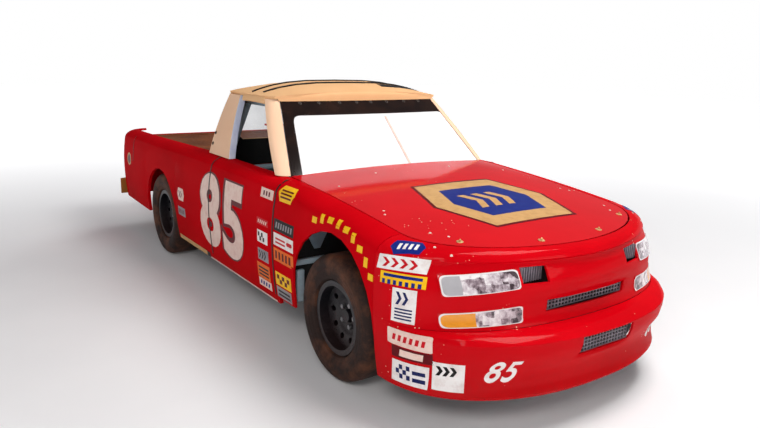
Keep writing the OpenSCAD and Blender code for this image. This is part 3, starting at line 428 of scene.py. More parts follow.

# Hood and wings: hand-rolled sheet over the engine and the wheels, with the doors, the bed sides and the tail.
# Steel sheet in the same red, glossier on the hood where it is polished. The hood's red is a lighter, lit copy, and the
# red of the wings, doors, bed sides, sills and tail is a darker, shaded copy: painted light and painted shade.
red_shaded_steel = enamel_finish("red_shaded_steel", (206, 4, 18), (186, 3, 14), red_dust, 0.0, 0.12, 0.04)
red_lit_hood = enamel_finish("red_lit_hood", (214, 5, 20), (196, 4, 16), red_dust, 0.03, 0.16, 0.6)
dress("hood", red_lit_hood, 32)
for node in ("wing_right", "wing_left", "door_right", "door_left", "bed_side_right", "bed_side_left",
             "sills", "tailgate"):
    dress(node, red_shaded_steel, 32)

# Bed: a flat lid between the sides, and a bumper bar across the tail.
# The lid is dull tan paint on alloy sheet; the bar is gloss tan.
bed_tan = worn_finish("bed_tan", (104, 54, 28), (140, 80, 42), 3.0, (0.5, 0.7), 0.0, 0.25, shine=0.1)
bar_tan = enamel_finish("bar_tan", (190, 132, 66), (164, 106, 50), (110, 84, 60))
dress("bed_cover", bed_tan)
dress("rear_bumper", bar_tan, 32)

# Cab: roof, screen pillars and rear corners, with the wall behind the seat, a header and two roof rails.
# Sheet steel in gloss cream enamel; the pillars and the rear corners take a paler, lit copy of it, which is painted
# light.
cream_dust = (150, 120, 90)
cream_enamel = enamel_finish("cream_enamel", (236, 190, 142), (226, 176, 126), cream_dust, 0.0, 0.1)
# a paler copy of the cream for the pillars and the rear corners: painted light
cream_lit_side = enamel_finish("cream_lit_side", (250, 212, 180), (242, 198, 164), cream_dust, 0.0, 0.1)
jamb_white = worn_finish("jamb_white", (196, 204, 230), (220, 226, 242), 6.0, (0.35, 0.5), 0.0, 0.15)
inner_black = worn_finish("inner_black", (14, 17, 18), (26, 29, 30), 12.0, (0.6, 0.8), 0.0, 0.3)
# columns: node, outer finish, and for a lined piece the lining's finish and the way that its faces look
for node, cream, *lining in (
    ("roof", cream_enamel, inner_black, (0, 0, -1)), ("a_pillars", cream_lit_side),
    ("cab_corners", cream_lit_side, jamb_white, (1, 0, 0)), ("cab_back", cream_enamel, inner_black, (1, 0, 0)),
):
    piece = dress(node, cream, 32)
    if lining:
        piece.data.materials.append(lining[0])
        for face in piece.data.polygons:
            if face.normal.dot(Vector(lining[1])) > 0.6:
                face.material_index = 1

# the roof's front edge falls back by bow and down by arch with the square of the distance from the middle
edge_x, edge_z, bow, arch, header_wide = 0.426, 1.4816, 0.0775, 0.0608, 1.3
lip_rows = [(-0.014, 0.0058), (0.0045, 0.0012), (0.012, -0.012)]
screen_x, screen_z = 0.437919, 1.4235
header = start(bpy.ops.mesh.primitive_grid_add, "screen_header", x_subdivisions=3, y_subdivisions=40, size=1.0)
for corner in header.data.vertices:
    row, side = round((corner.co.x + 0.5) * 3), corner.co.y * header_wide
    if row < len(lip_rows):
        ahead, up = lip_rows[row]
        corner.co = (edge_x - bow * side ** 2 + ahead, side, edge_z - arch * side ** 2 + up)
    else:
        corner.co = (screen_x - bow * side ** 2, side, screen_z)
face_out()
shape_with(header, "SUBSURF", levels=2, render_levels=2)
shape_with(header, "SOLIDIFY", thickness=0.0035)
settle(header, cream_enamel, 40)

for side, out in (("right", -1), ("left", 1)):
    rail = start(bpy.ops.mesh.primitive_cube_add, "roof_rail_" + side, size=1.0)
    rail.dimensions = (0.36, 0.026, 0.046)
    bpy.ops.object.transform_apply(location=False, rotation=False, scale=True)
    bpy.ops.object.mode_set(mode="EDIT")
    for cut in range(-5, 6):
        bpy.ops.mesh.select_all(action="SELECT")
        bpy.ops.mesh.bisect(plane_co=(cut * 0.03, 0, 0), plane_no=(1, 0, 0))
    bpy.ops.object.mode_set(mode="OBJECT")
    for corner in rail.data.vertices:
        along, lean = corner.co.x + 0.13, 0.004 if corner.co.z < 0 else -0.003
        droop = 0.13 * (along - 0.12) ** 2
        corner.co = (along, out * (0.692 + lean) + corner.co.y, 1.4275 + corner.co.z - droop)
    shape_with(rail, "BEVEL", width=0.009, segments=4)
    settle(rail, cream_enamel, 40)

# Closing sheets: a header over the cab's back wall, the lid's end at the tail and a seal along the wall's foot.
# Thin alloy and rubber strip, folded to meet the panels on both sides and riveted from below.
# columns: name, rows of (ahead, half width, height), droop of the last row with width squared and to the fourth
for name, rows, (sag, drop), finish, slot in [
    ("back_header", [(-0.325, 0.672, 1.42), (-0.325, 0.672, 1.4953)], (0.0302, 0.1784), cream_enamel, "cab_cream"),
    ("lid_end", [(-2.43, 0.884, 0.8797), (-2.48, 0.877, 0.8797), (-2.52, 0.851, 0.8797), (-2.553, 0.785, 0.884)],
     (0.0, 0.0), bed_tan, "bed_brown"),
    ("lid_seal", [(-0.448, 0.77, 0.8797), (-0.424, 0.77, 0.8797), (-0.4195, 0.77, 0.885), (-0.4178, 0.77, 0.906)],
     (0.0, 0.0), inner_black, "webbing"),
]:
    sheet = start(bpy.ops.mesh.primitive_grid_add, name, x_subdivisions=len(rows) - 1, y_subdivisions=40, size=1.0)
    for corner in sheet.data.vertices:
        row = round((corner.co.x + 0.5) * (len(rows) - 1))
        ahead, half, high = rows[row]
        side = 2 * half * corner.co.y
        droop = sag * side ** 2 + drop * side ** 4 if row == len(rows) - 1 else 0.0
        corner.co = (ahead, side, high - droop)
    face_out()
    shape_with(sheet, "SOLIDIFY", thickness=0.003, offset=0.0)
    settle(sheet, finish, 30)

# Glass: polycarbonate sheets screwed to the cab, the front one with a dark printed band.
# The band runs along the top and down the edges; the rest of the front sheet is a near-opaque white, a painted
# reflection of bright light.


def sheet_finish(name, pale, clear, cover_low, cover_high, band=None):
    """Clear sheet, pale and part opaque in clouds, which on the windshield is a painted reflection; a band prints its
    edge dark.

    The band is its height, the clear part's half width at the ground, how that narrows upward, and its middle.
    """
    made, tree, at = new_finish(name)
    cover_cloud = cloud(tree, at, 2.6, 4.0)
    colour = shades(tree, cover_cloud, [(0, tone(*pale)), (1, tone(*clear))])
    cover = spread(tree, cover_cloud, 0.3, 0.7, cover_low, cover_high)
    if band:
        band_z, half, narrowing, middle = band
        part = axes(tree, at)
        top = reckon(tree, "SUBTRACT", part["Z"], band_z)
        out = reckon(tree, "ABSOLUTE", reckon(tree, "SUBTRACT", part["Y"], middle))
        edge = reckon(tree, "SUBTRACT", reckon(tree, "MULTIPLY_ADD", part["Z"], narrowing, out), half)
        ink = spread(tree, reckon(tree, "SMOOTH_MAX", top, edge, 0.07), 0.006, 0.009)
        print_tone = shades(tree, cloud(tree, at, 9.0, 5.0), [(0.4, tone(24, 14, 12)), (0.75, tone(40, 24, 18))])
        colour = blend(tree, ink, colour, print_tone)
        cover = reckon(tree, "MAXIMUM", cover, ink)
    feed(tree, Base_Color=colour, Roughness=0.1, Alpha=cover, Specular_IOR_Level=0.18, Coat_Weight=0.1,
         Coat_Roughness=0.03)
    return made


screen_band = (1.328, 1.055, 0.32, 0.045)
# the windshield's near-opaque white is a painted reflection of bright light, not a tint of the sheet
screen_glare_sheet = sheet_finish("screen_glare_sheet", (244, 244, 248), (252, 252, 252), 0.86, 0.92, screen_band)
rear_sheet = sheet_finish("rear_sheet", (196, 206, 214), (222, 228, 234), 0.18, 0.32)
dress("windshield", screen_glare_sheet, 30)
dress("rear_window", rear_sheet, 30)

# Inside: net, dash, seat and steering wheel.
# Nylon webbing, crackle-painted alloy with rolled edges, a black seat shell and a foam-gripped rim.
black_web = worn_finish("black_web", (22, 22, 24), (38, 38, 40), 60.0, (0.7, 0.9), 0.0, 0.5)
dash_black = worn_finish("dash_black", (36, 38, 40), (58, 60, 62), 30.0, (0.5, 0.7), 0.1, 0.5)
seat_black = worn_finish("seat_black", (24, 24, 26), (40, 40, 42), 26.0, (0.6, 0.8), 0.0, 0.4)
dress("window_net", black_web, 30)
for node, finish, slot in (("dash", dash_black, "cast_dark"), ("seat", seat_black, "seat_black")):
    shell = dress(node, finish, 30)
    shape_with(shell, "BEVEL", width=0.007, segments=3, angle_limit=math.radians(40))
    smooth(30)
dress("steering_wheel", dash_black, 30)

# Race colours: numerals, dashes and small plain panels, cut from vinyl film and rubbed down on the paint.
# Thin gloss film in two layers, its edges lifted and grubby in places; every motif is a plain shape.


def film_finish(name, main, worn):
    """Vinyl film: one colour, greyed in patches, with faint squeegee marks in the gloss."""
    made, tree, at = new_finish(name)
    rub = cloud(tree, at, 16.0, 7.0, 0.7)
    feed(tree, Base_Color=shades(tree, rub, [(0.46, tone(*main)), (0.78, tone(*worn))]),
         Roughness=spread(tree, rub, 0.0, 1.0, 0.26, 0.5), Normal=bumps(tree, rub, 0.06, 0.001),
         Specular_IOR_Level=0.12)
    return made


film = {name: film_finish("film_" + name, main, worn) for name, main, worn in [
    ("white", (240, 236, 234), (214, 196, 190)), ("blush", (236, 208, 196), (216, 168, 156)),
    ("black", (20, 16, 18), (44, 36, 36)), ("maroon", (92, 4, 14), (122, 14, 24)),
    ("blue", (18, 36, 120), (40, 58, 132)), ("navy", (22, 30, 84), (40, 48, 98)),
    ("yellow", (250, 196, 24), (222, 166, 40)), ("orange", (232, 110, 26), (206, 96, 36)),
    ("tan", (204, 160, 104), (180, 134, 84)), ("red", (200, 16, 30), (176, 22, 32)),
    ("grey", (150, 146, 150), (120, 114, 116)),
]}
# outlines in a box of one by one about the origin
PLATE = [(-0.5, -0.5), (0.5, -0.5), (0.5, 0.5), (-0.5, 0.5)]
SLANT = [(-0.5, -0.5), (0.45, -0.5), (0.5, 0.5), (-0.45, 0.5)]
LOZENGE = [(-0.5, 0.0), (-0.36, -0.5), (0.36, -0.5), (0.5, 0.0), (0.36, 0.5), (-0.36, 0.5)]
ROUNDED = [(sx * (0.46 + 0.04 * math.cos(t)), sy * (0.42 + 0.08 * math.sin(t)))
           for sx, sy, turns in ((1, -1, (90, 45, 0)), (1, 1, (0, 45, 90)), (-1, 1, (90, 45, 0)), (-1, -1, (0, 45, 90)))
           for t in map(math.radians, turns)]
OVAL = [(0.5 * math.cos(2 * math.pi * i / 28), 0.5 * math.sin(2 * math.pi * i / 28)) for i in range(28)]


def inside(outline, share, shift=(0.0, 0.0)):
    """The same outline at a share of its size, moved by shift."""
    return [(share * u + shift[0], share * v + shift[1]) for u, v in outline]


def bars(count, box, lean=0.0, fill=0.55):
    """Upright bars side by side in a box of (left, low, right, high)."""
    left, low, right, high = box
    step = (right - left) / count
    starts = [left + i * step for i in range(count)]
    return [[(u, low), (u + fill * step, low), (u + fill * step + lean, high), (u + lean, high)] for u in starts]


def rungs(count, box, fill=0.5):
    """Level bars one above the other."""
    left, low, right, high = box
    step = (high - low) / count
    starts = [low + i * step for i in range(count)]
    return [[(left, v), (right, v), (right, v + fill * step), (left, v + fill * step)] for v in starts]


def chequer(columns, rows, box):
    """Every other square of a board."""
    left, low, right, high = box
    wide, tall = (right - left) / columns, (high - low) / rows
    starts = [(left + i * wide, low + j * tall) for i in range(columns) for j in range(rows) if (i + j) % 2]
    return [[(u, v), (u + wide, v), (u + wide, v + tall), (u, v + tall)] for u, v in starts]


def chevrons(count, box, thick=0.1):
    """Arrowheads pointing forward."""
    left, low, right, high = box
    step, mid = (right - left) / count, (low + high) / 2
    starts = [left + i * step for i in range(count)]
    return [[(u, low), (u + thick, low), (u + thick + step / 2, mid), (u + thick, high), (u, high), (u + step / 2, mid)]
            for u in starts]


def cut_shape(outline, size, colour):
    """One flat shape of film, at the origin and facing up."""
    clear_selection()
    bpy.ops.mesh.primitive_circle_add(vertices=len(outline), radius=1.0, fill_type="NGON")
    shape = bpy.context.object
    for corner, (across, up) in zip(shape.data.vertices, outline):
        corner.co = (across * size[0], up * size[1], 0.0)
    shape.data.update()
    if shape.data.polygons[0].normal.z < 0:
        bpy.ops.object.mode_set(mode="EDIT")
        bpy.ops.mesh.flip_normals()
        bpy.ops.object.mode_set(mode="OBJECT")
    shape.data.materials.append(film[colour])
    return shape


def cut_numerals(figures, size, colour, swell, lean):
    """Plain block numerals, converted from type and brought to size."""
    clear_selection()
    bpy.ops.object.text_add()
    shape = bpy.context.object
    shape.data.body = figures
    shape.data.offset = swell
    shape.data.resolution_u = 5
    shape.data.space_character = 1.08
    bpy.ops.object.convert(target="MESH")
    shape = bpy.context.object
    low = [min(v.co[k] for v in shape.data.vertices) for k in (0, 1)]
    high = [max(v.co[k] for v in shape.data.vertices) for k in (0, 1)]
    for v in shape.data.vertices:
        u, w = ((v.co[k] - low[k]) / (high[k] - low[k]) - 0.5 for k in (0, 1))
        v.co = (u * size[0] + lean * w * size[1], w * size[1], 0.0)
    shape.data.materials.clear()
    shape.data.materials.append(film[colour])
    return shape


def rub_down(shapes, name, at, wrap, lift, body="chassis", up=(0, 0, 1), grid=0.025, thick=0.0, away=None):
    """Joins flat shapes, lays them over the panels at a point, and trims what hangs off an edge."""
    clear_selection()
    for shape in shapes:
        shape.select_set(True)
    piece = shapes[0]
    bpy.context.view_layer.objects.active = piece
    if len(shapes) > 1:
        bpy.ops.object.join()
    piece.name = name
    reach = [max(abs(v.co[k]) for v in piece.data.vertices) for k in (0, 1)]
    bpy.ops.object.mode_set(mode="EDIT")
    for k, side in ((0, (1, 0, 0)), (1, (0, 1, 0))):
        count = int(reach[k] / grid)
        for i in range(-count, count + 1) if count else []:
            bpy.ops.mesh.select_all(action="SELECT")
            bpy.ops.mesh.bisect(plane_co=tuple(i * grid * c for c in side), plane_no=side)
    bpy.ops.object.mode_set(mode="OBJECT")
    if away is None:
        away = (max(0.0, at[0] - 1.9) * 1.6, at[1], max(0.0, at[2] - 0.8) * 4) if up[2] else (0, 0, 1)
    away = Vector(away).normalized()
    spot, out = wrap.ray_cast(Vector(at) + 0.4 * away, -away)[1:3]
    across = Vector(up).cross(out).normalized()
    turned = Matrix((across, out.cross(across), out)).transposed().to_4x4()
    piece.matrix_world = Matrix.Translation(spot + 0.06 * out) @ turned
    bpy.context.view_layer.update()
    shape_with(piece, "SHRINKWRAP", target=wrap, wrap_method="PROJECT", wrap_mode="ABOVE_SURFACE", use_project_z=True,
               use_negative_direction=True, use_positive_direction=False, project_limit=0.2, offset=lift)
    bpy.ops.object.transform_apply(location=True, rotation=True, scale=True)
    for v in piece.data.vertices:
        v.select = (wrap.closest_point_on_mesh(v.co)[1] - v.co).length > lift + 0.003
    for group in (piece.data.edges, piece.data.polygons):
        for item in group:
            item.select = False
    if any(v.select for v in piece.data.vertices):
        bpy.ops.object.mode_set(mode="EDIT")
        bpy.ops.mesh.select_mode(type="VERT")
        bpy.ops.mesh.delete(type="VERT")
        bpy.ops.object.mode_set(mode="OBJECT")
    if thick:
        shape_with(piece, "SOLIDIFY", thickness=thick, offset=1.0)
    smooth(30)
    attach(piece, body)


def wrap_of(name, nodes):
    """A joined copy of some panels to lay film on; it is removed once the film is down."""
    clear_selection()
    for node in nodes:
        copy = bpy.data.objects.new(name, bpy.data.objects[node + "_skin"].data.copy())
        bpy.context.collection.objects.link(copy)
        copy.select_set(True)
        bpy.context.view_layer.objects.active = copy
    bpy.ops.object.join()
    return bpy.context.object


# columns: name, place on the right side, width and height, outline, its colour, second colour, second shapes
panels = [
    ("nose_1", (2.105, -0.832, 0.874), (0.17, 0.086), LOZENGE, "blue", "white",
     bars(4, (-0.3, -0.22, 0.34, 0.22), 0.05)),
    ("nose_2", (2.118, -0.861, 0.803), (0.267, 0.068), SLANT, "white", "red",
     chevrons(4, (-0.38, -0.32, 0.3, 0.32), 0.07)),
    ("nose_3", (2.138, -0.879, 0.732), (0.233, 0.057), PLATE, "yellow", "blue",
     bars(7, (-0.45, -0.5, 0.47, -0.12)) + rungs(1, (-0.42, 0.1, 0.42, 0.6))),
    ("nose_4", (2.165, -0.893, 0.613), (0.123, 0.16), PLATE, "white", "navy",
     chevrons(2, (-0.34, 0.02, 0.2, 0.4), 0.12) + rungs(4, (-0.36, -0.42, 0.36, -0.04))),
    ("nose_5", (2.206, -0.882, 0.46), (0.245, 0.08), ROUNDED, "blush", "red", bars(6, (-0.38, -0.2, 0.4, 0.2), 0.03)),
    ("nose_6", (2.22, -0.879, 0.386), (0.22, 0.06), PLATE, "maroon", "blush", [inside(SLANT, 0.6)]),
    ("nose_7", (2.2, -0.869, 0.283), (0.207, 0.118), SLANT, "white", "navy",
     chequer(4, 3, (-0.36, -0.3, 0.02, 0.34)) + rungs(2, (0.08, -0.3, 0.4, 0.34), 0.55)),
    ("nose_8", (2.366, -0.777, 0.309), (0.149, 0.15), PLATE, "white", "black",
     chevrons(3, (-0.4, 0.0, 0.25, 0.36), 0.12)),
    ("door_1", (0.79, -0.92, 0.897), (0.17, 0.06), PLATE, "blush", "maroon", bars(3, (-0.3, -0.24, 0.34, 0.24))),
    ("wing_1", (1.03, -0.891, 0.925), (0.19, 0.10), LOZENGE, "yellow", "maroon", rungs(3, (-0.34, -0.3, 0.34, 0.32))),
    ("door_2", (0.76, -0.942, 0.715), (0.158, 0.042), PLATE, "red", "blush", bars(5, (-0.4, -0.25, 0.42, 0.25), 0.04)),
    ("door_3", (0.762, -0.944, 0.619), (0.146, 0.078), PLATE, "white", "black",
     chequer(4, 2, (-0.42, -0.34, 0.2, 0.34))),
    ("door_4", (0.765, -0.941, 0.502), (0.147, 0.076), PLATE, "grey", "black",
     chevrons(3, (-0.42, -0.34, 0.3, 0.34))),
    ("door_5", (0.755, -0.931, 0.392), (0.177, 0.10), PLATE, "orange", "black", rungs(3, (-0.4, -0.32, 0.4, 0.38))),
    ("door_6", (0.76, -0.924, 0.312), (0.18, 0.054), PLATE, "blush", "blue", bars(4, (-0.4, -0.25, 0.42, 0.25), 0.05)),
    ("wing_2", (1.045, -0.94, 0.74), (0.25, 0.072), PLATE, "black", "grey", bars(7, (-0.42, -0.25, 0.45, 0.25), 0.02)),
    ("wing_3", (1.045, -0.944, 0.652), (0.25, 0.076), PLATE, "white", "red",
     rungs(2, (-0.4, -0.3, 0.1, 0.3)) + [inside(LOZENGE, 0.3, (0.3, 0.0))]),
    ("wing_4", (1.045, -0.943, 0.557), (0.25, 0.08), PLATE, "orange", "maroon", bars(5, (-0.42, -0.3, 0.44, 0.3))),
    ("wing_5", (1.025, -0.933, 0.405), (0.20, 0.085), PLATE, "yellow", "maroon",
     chequer(5, 2, (-0.4, -0.32, 0.4, 0.32))),
    ("wing_6", (1.02, -0.93, 0.318), (0.19, 0.07), PLATE, "grey", "black", rungs(2, (-0.4, -0.3, 0.4, 0.4))),
    ("bed_1", (-0.74, -0.91, 0.62), (0.15, 0.10), LOZENGE, "blush", "maroon", chevrons(2, (-0.3, -0.26, 0.2, 0.26))),
    ("bed_2", (-0.74, -0.92, 0.48), (0.16, 0.07), PLATE, "grey", "maroon", bars(4, (-0.4, -0.25, 0.42, 0.25))),
    ("bed_3", (-2.25, -0.93, 0.70), (0.13, 0.12), OVAL, "tan", "maroon", [inside(OVAL, 0.72)]),
]
# the middle and radius of the row of dashes; the height of film over the paint, and of a layer on it
hub_x, arch_z, arch_r, film_lift, ply = 1.57, 0.415, 0.485, 0.0006, 0.0004
for side, sign in (("right", 1), ("left", -1)):
    flank = ["wing_" + side, "door_" + side, "bed_side_" + side]
    wrap = wrap_of("wrap_" + side, flank + ["bumper_cover", "grille_panel", "sills"])
    for name, (x, y, z), size, outline, main, second, shapes in panels:
        fine, low = (0.01, 0.0012) if x > 2 or z > 0.88 else (0.025, 0.0007)
        label, spot = "film_%s_%s" % (name, side), (x, sign * y, z)
        rub_down([cut_shape(outline, size, main)], label, spot, wrap, low, grid=fine)
        top = [cut_shape(shape, size, second) for shape in shapes]
        rub_down(top, label + "_top", spot, wrap, low + ply, grid=fine)
    for layer, (size, colour, swell) in enumerate((((0.80, 0.566), "maroon", 0.075), ((0.775, 0.54), "blush", 0.035))):
        big = cut_numerals("85", size, colour, swell, 0.0)
        spot = (0.075, -0.925 * sign, 0.614)
        rub_down([big], "numerals_%s_%d" % (side, layer), spot, wrap, film_lift + 0.0005 * layer)
    small = cut_numerals("85", (0.15, 0.13), "white", 0.02, 0.25)
    rub_down([small], "numerals_nose_" + side, (2.51, -0.572 * sign, 0.343), wrap, 0.0007, grid=0.01)
    for i in range(9):
        turn = math.radians(112 - 9.5 * i)
        spot = (hub_x + arch_r * math.cos(turn), -0.94 * sign, arch_z + arch_r * math.sin(turn))
        dash = cut_shape(PLATE, (0.034, 0.05) if i % 2 else (0.05, 0.034), "yellow")
        rub_down([dash], "dash_%s_%d" % (side, i), spot, wrap, film_lift, grid=0.008)
    bpy.data.objects.remove(wrap)

crest_at, ahead_up = (1.78, 0.0, 0.98), (-1, 0, 0)
hood_wrap = wrap_of("wrap_hood", ["hood"])
for i, (size, colour) in enumerate([((0.84, 0.74), "maroon"), ((0.80, 0.70), "tan"), ((0.56, 0.46), "blue")]):
    rub_down([cut_shape(LOZENGE, size, colour)], "crest_%d" % i, crest_at, hood_wrap, film_lift + ply * i,
             "hood", ahead_up, 0.05)
marks = [cut_shape(shape, (0.56, 0.46), "tan") for shape in chevrons(3, (-0.3, -0.24, 0.24, 0.24), 0.09)]
rub_down(marks, "crest_top", crest_at, hood_wrap, film_lift + 3 * ply, "hood", ahead_up, 0.05)
bpy.data.objects.remove(hood_wrap)

# Seam tape: black cloth tape pressed over the door gaps, a thin seal at the tail and trim along the sill.
# Woven cotton with a rubber backing; the sill carries a tan paint strip. The black patch at its front end is painted
# shade for the mouth of an exhaust outlet, and the pale line along the door's foot is partly a rub strip and partly a
# painted highlight.
off_seam = 0.006
for side, sign in (("right", 1), ("left", -1)):
    wrap = wrap_of("wrap_tape_" + side, ["wing_" + side, "door_" + side, "bed_side_" + side, "sills"])
    for name, x, middle, size, colour in [
        ("door_rear", -0.1325, 0.64, (0.016, 0.71), "black"), ("door_front", 0.902, 0.64, (0.016, 0.71), "black"),
        ("tail", -2.1, 0.82, (0.008, 0.24), "maroon"), ("sill_tan", -0.556, 0.255, (0.6, 0.035), "tan"),
        # the black patch is painted shade for an exhaust outlet's mouth; the pale line is partly a rub strip, partly a
        # painted highlight
        ("outlet_shade", -0.226, 0.255, (0.06, 0.036), "black"), ("sill_line", 0.36, 0.241, (1.1, 0.009), "blush"),
    ]:
        strip = cut_shape(inside(PLATE, 1.0, (-off_seam / size[0], 0.0)), size, colour)
        spot = (x + off_seam * sign, -0.97 * sign, middle)
        rub_down([strip], "trim_%s_%s" % (name, side), spot, wrap, 0.0018, thick=0.0008)
    bpy.data.objects.remove(wrap)

# Roof bars and screen brace: two black alloy bars across the roof, and a pair of hinged flaps.
# Extruded bar bent to the roof and riveted; the brace is a pale alloy strap outside the screen.
roof_wrap = wrap_of("wrap_roof", ["roof"])
for name, x, y, size, thick in [
    ("front", 0.2, 0.0, (1.3, 0.018), 0.007), ("rear", 0.05, 0.0, (1.34, 0.018), 0.008),
    ("flap_left", 0.27, 0.42, (0.34, 0.075), 0.002), ("flap_right", -0.12, 0.36, (0.34, 0.09), 0.002),
]:
    bar = cut_shape(PLATE, size, "black")
    rub_down([bar], "roof_bar_" + name, (x, y, 1.6), roof_wrap, film_lift, up=ahead_up, grid=0.04,
             thick=thick)
bpy.data.objects.remove(roof_wrap)
screen_wrap = wrap_of("wrap_screen", ["windshield"])
brace = cut_shape(PLATE, (0.017, 0.43), "blush")
rub_down([brace], "screen_brace", (0.70, 0.122, 1.17), screen_wrap, film_lift, grid=0.05, thick=0.003,
         away=(0.7, 0, 0.7))
bpy.data.objects.remove(screen_wrap)

# Tail prints: plain red and white lamp shapes in film on the tail panel.
# The real lamps are printed too; there is no glass in them.
tail_wrap = wrap_of("wrap_tail", ["tailgate"])
for side, sign in (("right", -1), ("left", 1)):
    for i, (size, up_by, colour) in enumerate([
        ((0.105, 0.34), 0.0, "maroon"), ((0.09, 0.2), 0.06, "red"), ((0.09, 0.1), -0.105, "white"),
    ]):
        spot = (-2.575, 0.715 * sign, 0.66 + up_by)
        rub_down([cut_shape(ROUNDED, size, colour)], "tail_print_%s_%d" % (side, i), spot, tail_wrap,
                 film_lift + (ply if i else 0.0), away=(-1, 0, 0))
bpy.data.objects.remove(tail_wrap)

# Pins and rivets: hood pins with their scuff plates, screen clips and rivets.
# Turned steel with a gold passivated plate; each stands square to the sheet that it goes through.


def stud(name, plate_r, post_r, post_h, finish):
    """A pressed plate with a post through it, standing on the origin."""
    piece = start(bpy.ops.mesh.primitive_cylinder_add, name, vertices=20, radius=plate_r, depth=0.0016,
                  location=(0, 0, 0.0008))
    bpy.ops.object.transform_apply(location=True, rotation=False, scale=False)
    bpy.context.tool_settings.mesh_select_mode = (False, False, True)
    for face in piece.data.polygons:
        face.select = face.normal.z > 0.9
    bpy.ops.object.mode_set(mode="EDIT")
    bpy.ops.mesh.inset(thickness=plate_r * 0.2, depth=0.0007)
    bpy.ops.mesh.inset(thickness=plate_r * 0.8 - post_r, depth=-0.0005)
    bpy.ops.mesh.extrude_region_move(TRANSFORM_OT_translate={"value": (0, 0, post_h)})
    bpy.ops.mesh.inset(thickness=post_r * 0.35, depth=post_r * 0.25)
    bpy.ops.object.mode_set(mode="OBJECT")
    smooth(35)
    piece.data.materials.append(finish)
    return piece


def plant(master, name, over, origin, aim, body):
    """A copy of a small part, stood on the first surface met from the origin of the aim."""
    spot, out = bpy.data.objects[over + "_skin"].ray_cast(Vector(origin), Vector(aim))[1:3]
    mesh = master.data.copy()
    mesh.transform(Matrix.Translation(spot) @ Vector((0, 0, 1)).rotation_difference(out).to_matrix().to_4x4())
    piece = bpy.data.objects.new(name, mesh)
    bpy.context.collection.objects.link(piece)
    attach(piece, body)


pin_gold = worn_finish("pin_gold", (176, 134, 78), (240, 212, 150), 60.0, (0.3, 0.5), 0.4, 0.4)
rivet_pale = worn_finish("rivet_pale", (214, 190, 176), (244, 230, 220), 60.0, (0.3, 0.5), 0.3, 0.3)
clip_dark = worn_finish("clip_dark", (30, 26, 26), (60, 52, 48), 60.0, (0.4, 0.6), 0.4, 0.3)
hood_pin = stud("hood_pin", 0.017, 0.0045, 0.011, pin_gold)
rivet = stud("rivet", 0.0065, 0.003, 0.0006, rivet_pale)
clip = stud("clip", 0.013, 0.007, 0.004, clip_dark)
down = (0, 0, -1)
for sign, side in ((1, "left"), (-1, "right")):
    # columns: name, part, node that it stands on, starts on the left, way to the surface, body, slot
    for name, master, over, starts, aim, body, slot in [
        ("hood_pin", hood_pin, "hood", [(2.36, 0.216, 2), (2.2, 0.6, 2)], down, "hood", "steel"),
        ("hood_rivet", rivet, "hood", [(1.69, 0.684, 2), (1.74, 0.712, 2), (2.05, 0.66, 2), (2.13, 0.61, 2),
                                       (1.2, 0.66, 2), (1.05, 0.3, 2)], down, "hood", "steel"),
        # the three pale nose rivets are partly real rivets and partly painted glints of light
        ("nose_rivet", rivet, "grille_panel", [(2.19, 0.745, 2), (2.27, 0.71, 2), (2.35, 0.655, 2)], down,
         "chassis", "steel"),
        ("screen_clip", clip, "windshield", [(1.6, y, 1.412) for y in (0.06, 0.2, 0.36, 0.5)], (-1, 0, 0),
         "chassis", "cast_dark"),
        ("corner_stud", clip, "cab_corners", [(-0.315, 1.4, 1.073), (-0.3073, 1.4, 1.15)], (0, -sign, 0),
         "chassis", "cast_dark"),
        ("bed_rivet", rivet, "bed_cover", [(-0.55 - 0.22 * i, 0.6, 2) for i in range(9)], down, "chassis", "steel"),
    ]:
        for i, (x, y, z) in enumerate(starts):
            plant(master, "%s_%s_%d" % (name, side, i), over, (x, sign * y, z), aim, body)
for master in (hood_pin, rivet, clip):
    bpy.data.objects.remove(master)

# Inner wings: splash sheets behind and inboard of the front tyres, with a stay tube and a gusset.
# Sheet alloy and tube in the chassis enamel, riveted to the rails; the sheet behind the tyre is black.
for side, sign in (("right", -1), ("left", 1)):
    for name, size, middle, finish, slot in [
        ("splash_sheet", (0.004, 0.46, 0.58), (1.108, 0.69, 0.58), inner_black, "cast_dark"),
        ("inner_sheet", (0.80, 0.004, 0.25), (1.545, 0.43, 0.735), chassis_enamel, "chassis_grey"),
        ("stay_low", (0.028, 0.05, 0.2), (1.125, 0.875, 0.4), chassis_enamel, "chassis_grey"),
        ("stay_bar", (0.03, 0.3, 0.036), (1.126, 0.765, 0.545), chassis_enamel, "chassis_grey"),
        ("gusset", (0.005, 0.2, 0.22), (1.116, 0.755, 0.72), chassis_enamel, "chassis_grey"),
    ]:
        sheet = start(bpy.ops.mesh.primitive_cube_add, "%s_%s" % (name, side), size=1.0)
        sheet.dimensions = size
        bpy.ops.object.transform_apply(location=False, rotation=False, scale=True)
        if name == "gusset":
            for corner in sheet.data.vertices:
                corner.co.y *= 1.35 if corner.co.z > 0 else 0.2
        bpy.ops.object.mode_set(mode="EDIT")
        bpy.ops.mesh.select_all(action="SELECT")
        bpy.ops.mesh.bevel(offset=min(size) * 0.3, segments=2, affect="EDGES")
        bpy.ops.transform.translate(value=(middle[0], sign * middle[1], middle[2]))
        bpy.ops.object.mode_set(mode="OBJECT")
        settle(sheet, finish, 35)

# Seat pads: three cushions laced into the alloy shell, and the belts over them.
# Foam under grey knitted cloth, sewn in channels; the belts are flat nylon webbing.


